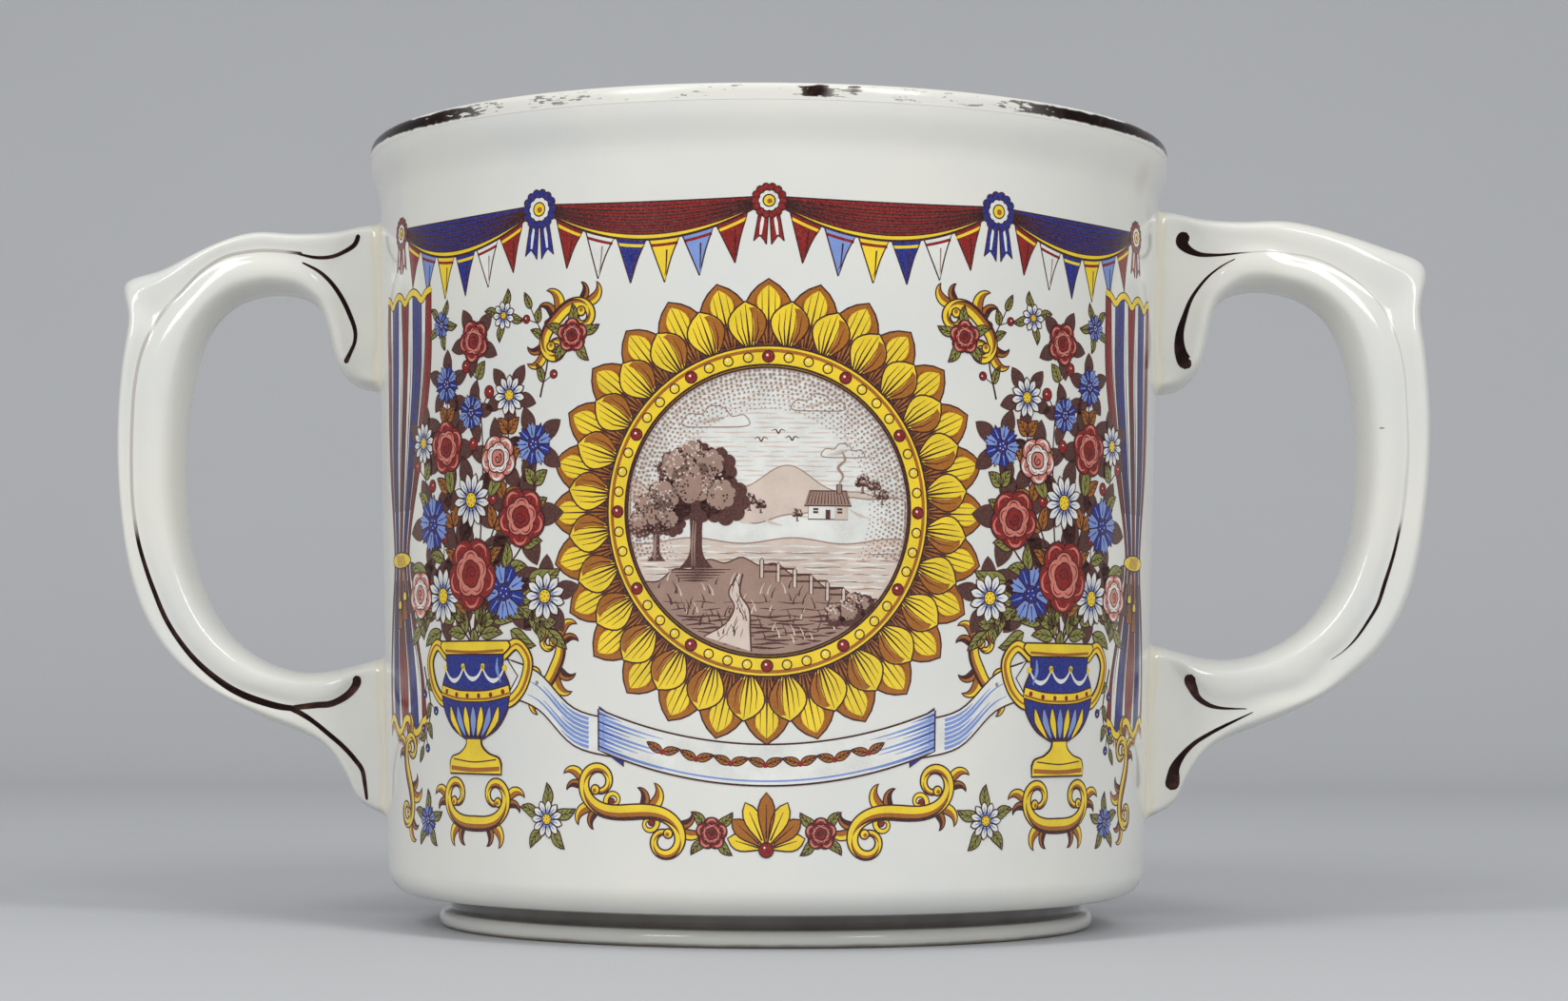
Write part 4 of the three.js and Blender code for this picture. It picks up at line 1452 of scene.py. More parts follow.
@dataclass(frozen=True)
class Scroll:
    """A gold scroll that winds in at both ends, with hooked fronds outside and tendrils inside.

    It is straightest at the origin, where it runs along x. Places along it go from -1 to 1.
    """

    back: float
    ahead: float
    bend: Bend
    width: float = 1.35
    turns: float = 1.1
    fronds: tuple[float, ...] = (-0.42, -0.1, 0.3, 0.5)
    tendrils: tuple[float, ...] = ()
    frond_size: float = 3.1

    def spine(self) -> tuple[Array, Array]:
        """Returns the middle line and the way it heads at each point, in radians."""
        share = np.linspace(-1, 1, 97)
        heading = TURN * self.turns * np.abs(share) ** 2.05
        if self.bend is Bend.SAME:
            heading = np.copysign(heading, share)
        reach = np.where(share[1:] > 0, self.ahead, self.back)
        steps = np.exp(0.5j * (heading[1:] + heading[:-1])) * reach / 48
        path = np.concatenate([[0], np.cumsum(steps)])
        return path - path[48], heading

    @staticmethod
    def frond(pen: Pen, size: float, ink: Ink, shade: Ink) -> None:
        """Draws a frond that leaves the origin along x and hooks to the right."""
        share = np.linspace(0, 1, 13)
        heading = np.exp(-1j * (0.25 + 2.1 * share**1.5))
        spine = size * np.concatenate([[0], np.cumsum(heading[1:])]) / 12
        side = 1j * heading * 0.17 * size * np.sin(math.pi * share**0.6) ** 0.9
        outline = np.concatenate([spine + side, (spine - side)[-2:0:-1]])
        pen.fill(ink, outline, 0)
        pen.over(1).between(shade, spine + 0.1 * side, spine - 0.96 * side)
        pen.over(2).line(KEY, outline, 0.12, closed=True)

    @staticmethod
    def tendril(pen: Pen, size: float) -> None:
        """Draws a thin curl that leaves the origin along x and ends in a bead."""
        path = np.concatenate([[-0.6 * size], curl(size, 1.05, 0.3)])
        pen.braid(path, (0.62, 0.3), (0.38, 0.1))
        pen.over(1).dots(KEY, [path[-1]], 0.34, 12)
        pen.over(2).dots(RED, [path[-1]], 0.23, 10)

    def draw(self, pen: Pen) -> None:
        """Draws the fronds and tendrils, and the scroll over them."""
        path, heading = self.spine()
        share = np.linspace(-1, 1, len(path))
        half = self.width / 2 * (1 - 0.66 * np.abs(share) ** 1.3)

        def root(place: float) -> tuple[Pen, float]:
            """Returns a pen that heads for the nearer end, outer side on its right, and the half width."""
            i = round((place + 1) / 2 * (len(path) - 1))
            flip = place < 0 and self.bend is Bend.SAME
            angle = math.degrees(heading[i]) + (180 if place < 0 and not flip else 0)
            return pen.at(path[i].real, path[i].imag, angle, 1, flip), half[i]

        for place in self.fronds:
            own, reach = root(place)
            size = self.frond_size * (1 - 0.35 * abs(place))
            self.frond(own.at(-0.3, -0.3 * reach, -34), 0.8 * size, OCHRE, KEY)
            self.frond(own.over(3).at(0.3, -0.3 * reach, -8), size, YELLOW, OCHRE)
        for place in self.tendrils:
            own, reach = root(place)
            self.tendril(own.over(3).at(0, 0.6 * reach, 38), 0.9)
        side = 1j * np.exp(1j * heading) * half
        shade = side * np.cos(heading)
        outline = np.concatenate([path + side, (path - side)[::-1]])
        body = pen.over(6)
        body.fill(YELLOW, outline, 0)
        body.over(1).between(OCHRE, path - 0.05 * shade, path - 0.97 * shade)
        body.over(2).between(KEY, path - 0.62 * shade, path - 0.97 * shade)
        body.over(3).line(KEY, outline, 0.14, closed=True)
        for end in (path[0], path[-1]):
            eye = body.over(4).at(end.real, end.imag)
            eye.fill(YELLOW, oval(0.42, 16), 0.14)
            eye.over(2).dots(OCHRE, [0.08 - 0.08j], 0.2, 10)


@dataclass(frozen=True)
class Palmette:
    """A fan of gold leaves that opens upwards."""

    size: float
    leaves: int = 7
    spread: float = 74.0

    def draw(self, pen: Pen) -> None:
        """Draws the fan from its outer leaves to its middle leaf."""
        middle = (self.leaves - 1) / 2
        order = sorted(range(self.leaves), key=lambda k: -abs(k - middle))
        for step, k in enumerate(order):
            off = (k - middle) / middle
            length = self.size * (1 - 0.28 * abs(off))
            own = pen.over(step).at(0, 0, 90 - off * self.spread)
            own.fill(YELLOW if step % 4 < 2 else OCHRE, petal(length, 0.3 * self.size, 1.7), 0.13)
            own.key(row(0.2, 0.5, 0.8) * length, (0.16, 0.05))
        pen.over(self.leaves + 1).fill(RED, oval(0.13 * self.size, 16), 0.12)
        pen.over(self.leaves + 3).dots(WHITE, [-0.03 * self.size + 0.04j * self.size], 0.1)


@dataclass(frozen=True)
class Rosette:
    """A pleated rosette with a white middle and two ribbon tails."""

    radius: float
    ink: Ink = RED

    def draw(self, pen: Pen) -> None:
        """Draws the rosette."""
        r = self.radius
        for own in pen.halves():
            own.fill(self.ink, r * row(0, 0.5 - 0.3j, 0.85 - 2.3j, 0.5 - 2j, 0.15 - 2.5j), 0.12)
            own.over(2).line(WHITE, r * row(0.25 - 0.5j, 0.4 - 1.3j, 0.48 - 1.95j), (0.1, 0.3, 0.2))
        disc = pen.over(3)
        disc.fill(self.ink, lobed(r, 14, 0.13), 0.12)
        for k in range(14):
            pleat = disc.over(1).at(0, 0, 360 * (k + 0.5) / 14)
            pleat.line(KEY, r * row(0.55, 0.7, 0.86), (0.11, 0.05))
        disc.over(2).fill(WHITE, lobed(0.62 * r, 10, 0.1), 0.11)
        disc.over(4).fill(YELLOW, oval(0.34 * r, 18), 0.12)
        disc.over(6).dots(OCHRE, [0.05 - 0.05j], 0.15 * r, 10)


@dataclass(frozen=True)
class Bunting:
    """A string of pennants in swags across the top of the print."""

    reach: float = 43.0
    swags: int = 4
    top: float = 66.0
    sag: float = 3.4
    drop: float = 3.9
    folds: int = 6

    def string(self, x: Any) -> Any:
        """Returns the height of the string."""
        span = 2 * self.reach / self.swags
        share = ((np.asarray(x) + self.reach) / span) % 1.0
        return self.top - self.sag * 4 * share * (1 - share)

    def festoon(self, pen: Pen, x: Array, ink: Ink) -> None:
        """Draws the cloth that hangs above the string, in folds that follow its sag."""
        low = self.string(x)
        top = self.top + 0.3 - 0.1 * (self.top - low)
        folds = [x + 1j * mix(top, low, share**0.85) for share in np.linspace(0, 1, self.folds + 1)]
        for k, (upper, lower) in enumerate(zip(folds, folds[1:])):
            last = k == self.folds - 1
            pen.between(YELLOW if last else ink, upper, lower)
            pen.key(upper, 0.14 if k == 0 or last else (0.3, 0.1, 0.3))
            if not last:
                pen.key(0.5 * (upper + lower)[6:-6], (0.03, 0.16, 0.03))

    def pennant(self, pen: Pen, ink: Ink, left: float, right: float) -> None:
        """Draws a pennant between two places on the string, with its hem and its fold."""
        middle = (left + right) / 2
        lean = 0.22 * (self.string(right) - self.string(left))
        top = [complex(p, self.string(p)) for p in np.linspace(left, right, 4)]
        tip = complex(middle + lean, self.string(middle) - self.drop)
        sway = 0.12 * (tip - top[0])
        edge = form(top[-1], (top[-1] + tip) / 2 - sway * 0.4, tip, steps=3)[1:-1]
        pen.fill(ink, [*top, *edge, tip], 0.13)
        hem = [complex(p, self.string(p) - 0.55) for p in np.linspace(left + 0.16, right - 0.16, 4)]
        pen.over(1).line(YELLOW if ink in (RED, BLUE) else RED, hem, 0.26)
        bend = (tip + complex(middle + 0.3, tip.imag + 2)) / 2
        fold = [complex(middle + 0.25, self.string(middle) - 1), bend, tip + 0.6j]
        pen.over(1).line(SEPIA if ink is WHITE else KEY, fold, (0.16, 0.1, 0.04))

    def draw(self, pen: Pen) -> None:
        """Draws the cloth, the string, the pennants and a rosette at each fixing."""
        span = 2 * self.reach / self.swags
        inks = (RED, WHITE, BLUE, YELLOW, SKY, RED)
        pitch = (span - 3.4) / len(inks)
        for swag in range(self.swags):
            start = -self.reach + swag * span
            x = np.linspace(start + 0.01, start + span - 0.01, 40)
            self.festoon(pen, x, BLUE if swag in (0, 3) else RED)
            pen.over(3).line(KEY, x + 1j * self.string(x), 0.22)
            for k, ink in enumerate(inks if swag % 2 else inks[::-1]):
                left = start + 1.7 + k * pitch + 0.12
                self.pennant(pen, ink, left, left + pitch - 0.24)
        for k in range(self.swags + 1):
            rosette = Rosette(1.8, BLUE) if k % 2 else Rosette(1.55)
            rosette.draw(pen.over(4).at(-self.reach + k * span, self.top - 0.1))


@dataclass(frozen=True)
class Medallion:
    """A sepia landscape in a beaded gold frame, inside two rings of gold petals."""

    radius: float = 12.6
    frame: float = 1.9
    petals: int = 28
    reach: float = 20.4
    seed: int = 11

    def under(self, height: Callable[[Array], Array]) -> Array:
        """Returns the part of the picture under a line, as an outline."""
        x = np.linspace(-self.radius, self.radius, 90)
        bottom = -np.sqrt(np.maximum(self.radius**2 - x**2, 0))
        top = np.minimum(height(x), -bottom)
        kept = top > bottom + 0.02
        return np.concatenate([(x + 1j * top)[kept], (x + 1j * bottom)[kept][::-1]])

    @staticmethod
    def bank_top(x: Any, height: float) -> Any:
        """Returns the slope of the bank's top, set at a height."""
        return height + 1.9 * np.sin(x * 0.21 + 2.2)

    def inside(self, point: complex, margin: float = 0.3) -> bool:
        """Returns whether a point is inside the picture."""
        return abs(point) < self.radius - margin

    def hatch(self, pen: Pen, ink: Ink, heights: Sequence[float], width: float, wave: float) -> None:
        """Draws level lines at heights given by start, end and step, broken here and there."""
        chance = self.random.random
        for y in np.arange(*heights):
            reach = math.sqrt(max((self.radius - 0.35) ** 2 - y * y, 0))
            x = -reach
            while x < reach - 0.8:
                end = min(x + 1.2 + 3.2 * chance(), reach)
                run = np.linspace(x, end, 5)
                level = y + wave * np.sin(run * 1.9 + y * 7)
                pen.line(ink, run + 1j * level, (0.3 * width, width, 0.3 * width))
                x = end + 0.3 + 0.8 * chance()

    @cached_property
    def random(self) -> random.Random:
        """Returns the medallion's own seeded chance."""
        return random.Random(self.seed)

    def crowns(self, pen: Pen, size: float, crowns: Sequence[tuple[float, float, float]]) -> None:
        """Draws masses of leaves, dark below and dotted with light above, as [across, up, radius] of each."""
        chance = self.random.random
        for k, (x, y, r) in enumerate(crowns):
            pen.at(size * x, size * y).fill(DARK, lobed(size * r, 9, 0.14, 17 * k), 0)
        for k, (x, y, r) in enumerate(crowns):
            own = pen.over(1).at(size * (x - 0.05), size * (y + 0.07))
            own.fill(SEPIA, lobed(size * r * 0.62, 7, 0.18, 31 * k), 0)
            for _ in range(int(22 * size * r)):
                at = size * r * 0.9 * math.sqrt(chance()) * np.exp(2j * math.pi * chance())
                ink = PALE if at.imag > 0 and at.real < size * 0.1 else DARK
                own.over(1).dots(ink, [at], 0.08 + 0.05 * chance(), 5)

    def tree(self, pen: Pen, size: float) -> None:
        """Draws a spreading tree that stands at the origin."""
        trunk = both_sides(size * form(0.09 + 0.75j, 0.07 + 0.4j, 0.09 + 0.15j, 0.2 + 0j))
        pen.fill(DARK, trunk, 0)
        for x in (-0.05, -0.02):
            pen.over(1).line(SEPIA, size * form(x + 0.02j, x + 0.3j, x + 0.02 + 0.6j), (0.05, 0.16, 0.05))
        lower = (0, 0.95, 0.42), (-0.34, 0.78, 0.3), (0.34, 0.8, 0.3)
        masses = *lower, (-0.2, 1.15, 0.28), (0.22, 1.17, 0.27), (0, 1.32, 0.2)
        self.crowns(pen.over(1), size, masses)

    def cottage(self, pen: Pen, size: float) -> None:
        """Draws a cottage with a thatched roof."""

        def block(left: float, right: float, low: float, high: float) -> Array:
            """Returns an upright rectangle."""
            return size * row(left + low * 1j, right + low * 1j, right + high * 1j, left + high * 1j)

        pen.fill(WHITE, block(-1, 1, 0, 0.75), 0.1, DARK)
        pen.over(2).fill(PALE, block(0.35, 1, 0, 0.75), 0)
        pen.over(3).fill(DARK, block(-0.12, 0.12, 0, 0.48), 0)
        for x in (-0.62, 0.6):
            pane = size * (row(-0.13 - 0.12j, 0.13 - 0.12j, 0.13 + 0.14j, -0.13 + 0.14j) + x + 0.42j)
            pen.over(3).fill(DARK, pane, 0)
            pen.over(4).line(WHITE, size * (row(-0.13, 0, 0.13) + x + 0.43j), 0.06)
        roof = size * row(-1.2 + 0.68j, 1.2 + 0.68j, 0.92 + 1.42j, -0.92 + 1.42j)
        pen.over(4).fill(SEPIA, roof, 0.12, DARK)
        for x in np.linspace(-1, 1, 13):
            thatch = size * row(x * 0.84 + 1.36j, x * 0.95 + 1.1j, x * 1.05 + 0.76j)
            pen.over(5).line(DARK, thatch, (0.06, 0.1))
        pen.over(6).fill(SEPIA, block(0.45, 0.68, 1.3, 1.75), 0.1, DARK)
        smoke = size * form(0.57 + 1.8j, 0.75 + 2.2j, 0.5 + 2.6j, 0.85 + 3j, 0.7 + 3.4j)
        pen.over(6).line(SEPIA, smoke, (0.1, 0.24, 0.08))

    def sky(self, pen: Pen) -> None:
        """Draws the sky with its clouds and birds."""
        pen.fill(WHITE, oval(self.radius, 72), 0)
        self.hatch(pen.over(1), PALE, (1, 12.2, 0.42), 0.15, 0.03)
        top = (-3 + 0j, -2.4 + 0.9j, -1.2 + 0.9j, -0.5 + 1.6j, 0.8 + 1.4j, 1.4 + 0.7j, 2.5 + 0.8j, 3 + 0j)
        for x, y, size in ((-4.6, 7.6, 1), (4.4, 9, 0.8), (6.6, 4.9, 0.65)):
            own = pen.over(2).at(x, y)
            own.fill(WHITE, size * form(*top, -0.25j, closed=True), 0.1, SEPIA)
            for k in range(4):
                run = size * form(-2.2 + 0.1j + 0.5 * k, -1 + 0.14j + 0.5 * k, 0.2 + 0.3j + 0.3 * k)
                own.over(2).line(PALE, run + 0.14j * k, (0.04, 0.16, 0.04))
        for x, y in ((-0.6, 6.1), (0.9, 6.8), (2.1, 6.2)):
            wings = ((-0.6, 0.2), (-0.25, 0.35), (0, 0), (0.25, 0.35), (0.6, 0.2))
            bird = form(*[x + out + 1j * (y + up) for out, up in wings])
            pen.over(2).line(DARK, bird, (0.05, 0.14, 0.05))

    def hills(self, far: Pen, near: Pen) -> None:
        """Draws the far and the near hills, with trees and a cottage."""
        far_hill = self.under(lambda x: 2.2 + 1.3 * np.sin(x * 0.36 + 1) + 0.5 * np.sin(x * 0.9))
        far.fill(PALE, far_hill, 0.1, SEPIA)
        near_hill = self.under(lambda x: 0.2 + 1.1 * np.sin(x * 0.3 - 1.2) + 0.2 * np.sin(x * 1.2))
        near.fill(WHITE, near_hill, 0.12, SEPIA)
        for k in range(9):
            start = -11.0 + 2.6 * k
            slope = form(start + 0j, start + 0.9 - 0.5j, start + 1.9 - 0.75j) + 0.6j * math.sin(k * 1.3)
            if all(self.inside(p) for p in slope):
                near.over(2).line(PALE, slope, (0.05, 0.3, 0.05))
        left_trees = (-1.6, 0, 0.55), (-0.6, -0.2, 0.42)
        right_trees = (8.4, 1.6, 0.6), (9.5, 1.4, 0.5), (2.6, -0.9, 0.4), (10.2, 0.6, 0.5)
        for x, y, size in (*left_trees, *right_trees):
            self.tree(near.over(2).at(x, y), 1.9 * size)
        self.cottage(near.over(3).at(5.3, -0.7), 1.75)

    def lake(self, pen: Pen) -> None:
        """Draws the lake with its ripples."""
        pen.fill(PALE, self.under(lambda x: -2.6 + 0.25 * np.sin(x * 0.7)), 0.12, SEPIA)
        self.hatch(pen.over(2), WHITE, (-7.6, -3, 0.5), 0.2, 0.05)
        self.hatch(pen.over(2), SEPIA, (-7.4, -3.2, 0.62), 0.12, 0.05)

    def path(self, bank: Pen) -> None:
        """Draws the path that leads to the shore, with its ruts."""
        left = form(-5.6 - 11j, -3.6 - 9.8j, -2.9 - 8.4j, -3.4 - 7.2j, -2.6 - 5.5j)
        right = form(-1.4 - 12.3j, -1.5 - 10.4j, -1.6 - 8.6j, -2.4 - 7.2j, -2.2 - 5.5j)
        bank.over(2).between(PALE, left, right)
        bank.over(3).line(DARK, left, 0.12)
        bank.over(3).line(DARK, right, 0.16)
        for k in range(8):
            rut = mix(left[3 * k : 3 * k + 4], right[3 * k : 3 * k + 4], 0.3 + 0.4 * (k % 2))
            bank.over(3).line(SEPIA, rut, (0.04, 0.14, 0.04))

    def grass(self, bank: Pen) -> None:
        """Draws blades of grass on the bank."""
        chance = self.random.random
        for k in range(150):
            x = -11.5 + 23 * chance()
            y = -11.6 + 5.6 * chance()
            blade = row(0, 0.08 + 0.35j, 0.3 + 0.75j) * (0.7 + 0.8 * chance())
            blade = (blade if k % 2 else -np.conj(blade)) + complex(x, y)
            if y < self.bank_top(x, -6.6) and self.inside(blade[0], 0.5) and self.inside(blade[2], 0.5):
                bank.over(2).line(DARK if k % 3 else PALE, blade, (0.16, 0.04))

    def fence(self, bank: Pen) -> None:
        """Draws the fence, which follows the top of the bank."""
        for x in np.arange(-0.5, 9.5, 1.45):
            post = bank.over(3).at(x, self.bank_top(x, -7.5))
            post.fill(PALE, [-0.16, 0.16, 0.16 + 1.5j, 1.75j, -0.16 + 1.5j], 0.09, DARK)
            if x < 8.5:
                for rail in (0.55, 1.15):
                    post.line(DARK, row(0.1, 0.75, 1.4) + 1j * rail, 0.17)

    def landscape(self, pen: Pen) -> None:
        """Draws the picture from the sky to the foreground."""
        self.sky(pen)
        self.hills(pen.over(4), pen.over(6))
        self.lake(pen.over(13))
        bank = pen.over(16)
        ground = self.under(lambda x: self.bank_top(x, -6.2) + 0.25 * np.sin(x * 2.1))
        bank.fill(SEPIA, ground, 0.12, DARK)
        self.hatch(bank.over(1), DARK, (-12.3, -9.2, 0.34), 0.22, 0.08)
        self.hatch(bank.over(1), DARK, (-9.2, -7.4, 0.6), 0.12, 0.08)
        self.path(bank)
        for k in range(5):
            shadow = np.linspace(-8.8 + 0.3 * k, -3.2 - 0.5 * k, 5) - 1j * (5.15 + 0.24 * k)
            bank.over(2).line(DARK, shadow, (0.05, 0.2, 0.05))
        bush = ((0, 0, 0.5), (0.5, 0.28, 0.36), (-0.52, -0.12, 0.36), (0.15, 0.42, 0.3))
        self.crowns(bank.over(3).at(7.4, -8.9), 2.6, bush)
        self.tree(bank.over(3).at(-6.3, -5), 7.4)
        self.tree(bank.over(3).at(-9.9, -4.4), 4.2)
        self.grass(bank)
        self.fence(bank)

    def vignette(self, pen: Pen) -> None:
        """Dots the picture's edge with a fine stipple that fades inwards."""
        for tier in range(10):
            reach = self.radius - 0.2 - 0.37 * tier
            count = int(TURN * reach / 0.43)
            for k in range(count):
                at = reach * np.exp(2j * math.pi * (k + 0.5 * (tier % 2)) / count)
                at += complex(self.random.uniform(-0.06, 0.06), self.random.uniform(-0.06, 0.06))
                if at.imag > -4.2:
                    pen.dots(SEPIA, [at], 0.15 - 0.0105 * tier, 5)

    def petals_in(self, pen: Pen, tier: int) -> None:
        """Draws a tier of petals: ochre ones with yellow hearts, or yellow ones with an ochre shade."""
        inner = self.radius + self.frame - 0.5
        length = self.reach - 1.9 * tier - inner
        width = TURN * (inner + 0.6 * length) / self.petals * (0.9 if tier else 1.02)
        outline = petal(length, width, 1.25, 11)
        edge = outline[:11]
        for k in range(self.petals):
            own = pen.at(0, 0, 360 * (k + 0.5 * tier) / self.petals).at(inner, 0)
            own.fill(YELLOW if tier else OCHRE, outline, 0.15)
            if tier:
                shade = edge.real - 0.35j * edge.imag
                own.over(1).between(OCHRE, np.conj(edge)[2:-1] * 0.97, shade[2:-1] * 0.97)
            else:
                own.over(1).fill(YELLOW, 0.42 * length + petal(0.5 * length, 0.5 * width, 1.1, 7), 0)
            for vein in (-0.6, -0.3, 0, 0.3, 0.6):
                run = mix(0.1, 0.95 - 0.35 * abs(vein), row(0, 0.5, 1)) * length
                run = run + 0.5j * width * vein * row(0.35, 0.9, 0.95)
                own.over(2).line(KEY, run, (0.15, 0.1, 0.03) if vein else (0.24, 0.14, 0.04))

    def draw(self, pen: Pen) -> None:
        """Draws the medallion round the origin."""
        hollow = self.radius + self.frame + 0.4 * (self.reach - self.radius - self.frame)
        pen.fill(DARK, oval(hollow, 96), 0)
        for tier in (0, 1):
            self.petals_in(pen.over(1 + 3 * tier), tier)
        rim = pen.over(7)
        rim.fill(YELLOW, oval(self.radius + self.frame, 96), 0.18)
        rim.over(1).line(OCHRE, oval(self.radius + self.frame - 0.42, 96), 0.3, True)
        for k, at in enumerate(ring(self.radius + 0.5 * self.frame, 48)):
            bead = rim.over(2).at(at.real, at.imag)
            bead.fill(YELLOW if k % 4 else RED, oval(0.42 if k % 4 else 0.52, 12), 0.12)
            bead.over(2).dots(WHITE, [-0.1 + 0.12j], 0.12, 6)
        rim.over(1).line(KEY, oval(self.radius + 0.22, 96), 0.2, True)
        self.landscape(rim.over(2))
        self.vignette(rim.over(26))
        rim.over(27).line(KEY, oval(self.radius, 96), 0.16, True)


@dataclass(frozen=True)
class Urn:
    """A royal blue urn with gold mouldings, standing on the origin."""

    height: float
    drawn_height: float = 13.6

    def draw(self, pen: Pen) -> None:
        """Draws the urn."""
        scale = self.height / self.drawn_height
        for side in pen.at(0, 0, 0, scale).halves():
            grip = form(3.9 + 10.6j, 5.6 + 11.6j, 6.9 + 10.2j, 6.3 + 7.9j, 4.9 + 6.6j, 3.7 + 6.4j)
            side.braid(grip, 1.15, 0.86)
            side.over(2).line(OCHRE, grip + 0.12, (0.1, 0.36, 0.1))
            side.over(2).fill(YELLOW, oval(0.55, 16) + 3.9 + 6j, 0.13)
        own = pen.over(4).at(0, 0, 0, scale)
        foot = form(1.0 + 3.4j, 1.1 + 2.6j, 2.0 + 1.9j, 3.3 + 1.5j, 3.6 + 1j)
        own.fill(YELLOW, both_sides(np.concatenate([foot, [3.6 + 0.05j]])), 0.15)
        own.over(1).line(OCHRE, form(-3.4 + 0.55j, 0.4j, 3.4 + 0.55j), 0.4)
        own.over(2).line(KEY, form(-3.0 + 1.35j, 1.1j, 3.0 + 1.35j), 0.12)
        bowl = form(4.1 + 10.8j, 3.9 + 9.6j, 4.7 + 7.8j, 4.5 + 6j, 3.2 + 4.2j, 1.3 + 3.2j)
        own.over(1).fill(BLUE, both_sides(bowl), 0.16)
        for k in range(-3, 4):
            middle = 0.98 * k
            around = (0.55 * k + 3.35j, middle - 0.42 + 4.8j, 1.12 * k + 6.1j, middle + 0.42 + 4.8j)
            own.over(3).fill(YELLOW if k % 2 else SKY, form(*around, closed=True, steps=4), 0.11)
        band = form(4.72 + 7.5j, 2.4 + 7.05j, 0 + 6.95j, -2.4 + 7.05j, -4.72 + 7.5j)
        own.over(5).braid(band, 1.15, 0.86)
        own.over(7).line(OCHRE, band - 0.24j, 0.2)
        own.over(7).dots(RED, band[2:-2:4] + 0.05j, 0.24, 10)
        for k in (-1, 0, 1):
            swag = form(1.4 + 9.6j, 0.7 + 8.75j, 8.5j, -0.7 + 8.75j, -1.4 + 9.6j)
            swag = swag + 2.75 * k - 0.15j * abs(k)
            own.over(5).line(WHITE, swag, (0.12, 0.42, 0.12))
            own.over(6).dots(YELLOW, [swag[0] + 0.05j, swag[-1] + 0.05j], 0.25, 10)
        own.over(5).line(SKY, form(-3.3 + 10.4j, -3.25 + 9.4j, -3.7 + 8.2j), (0.1, 0.4, 0.1))
        lip = form(4.6 + 11.9j, 4.9 + 11.5j, 4.5 + 11j, 4.0 + 10.7j)
        own.over(8).fill(YELLOW, both_sides(lip), 0.15)
        own.over(9).line(OCHRE, form(-4.1 + 11.05j, 10.9j, 4.1 + 11.05j), 0.26)


@dataclass(frozen=True)
class Bouquet:
    """Flowers and leaves that spread from the mouth of an urn at the origin."""

    scale: float

    def draw(self, pen: Pen) -> None:
        """Draws the leaves, the stems and then the flowers."""
        pen = pen.at(0, 0, 0, self.scale)
        stems = (
            ((0j, -1 + 8j, -1.5 + 17j, -0.5 + 25j), GREEN, RED),
            ((0j, -3 + 5j, -6.4 + 9j, -7.6 + 15.5j), GREEN, None),
            ((0j, 3 + 6j, 6.0 + 10j, 7.4 + 16.5j), GREEN, RED),
            ((0j, -3 + 2.5j, -6 + 3.2j, -8.6 + 1.2j), GREEN, None),
            ((0j, 3 + 2.6j, 6 + 3.4j, 8.4 + 1.6j), GREEN, None),
            ((0j, 2 + 8j, 3.4 + 14j, 3.2 + 21.5j), OCHRE, None),
            ((0j, -2 + 8j, -4.2 + 13j, -4.6 + 20j), OCHRE, None),
        )
        leaves = (
            (-6.6, 5.4, 165, 3.4), (6.8, 5.8, 15, 3.4), (-2.4, 12.4, 110, 3), (2.7, 12.8, 70, 3),
            (0, 1.4, 250, 2.4), (-4.6, 1.2, 205, 3), (4.6, 1.2, -25, 3),
        )
        flowers = (
            (-7.3, 16.6, Cornflower(1.9)), (7.2, 17.4, Daisy(1.8)), (-0.5, 25.6, Rose(1.8)),
            (3.3, 22.2, Cornflower(1.7)), (-4.7, 20.8, Daisy(1.7, 11)), (-3.4, 15.6, Rose(2, ROSE, WHITE)),
            (3.4, 16.8, Rose(2.3)), (0, 12.2, Daisy(2.3, 13)), (-5.9, 10.6, Rose(2.5)),
            (5.7, 10.4, Cornflower(2.5)), (-8.3, 4, Daisy(2, 11)), (8.2, 4.4, Rose(2.1, ROSE, WHITE)),
            (-3.9, 4.4, Cornflower(2.5)), (4.2, 4.2, Daisy(2.4, 13)), (0.1, 6, Rose(3.1)),
            (-0.1, 19.6, Cornflower(1.6)),
        )
        for k, (x, y, flower) in enumerate(flowers):
            for j in range(5):
                shadow = pen.at(x, y, 72 * j + 31 * k).at(0.5 * flower.radius, 0)
                shadow.fill(DARK, petal(1.25 * flower.radius, 0.8 * flower.radius, 0.8), 0)
        for k, (path, ink, berries) in enumerate(stems):
            Spray(path, 2.7, berries, 6, ink).draw(pen.over(1 + 3 * (k % 2)))
        for x, y, angle, length in leaves:
            Leaf(length, 0.42 * length).draw(pen.over(8).at(x, y, angle))
        for k, (x, y, flower) in enumerate(flowers):
            flower.draw(pen.over(11 + 6 * (k % 3 == 2) + 2 * (k == 14)).at(x, y, 23 * k))


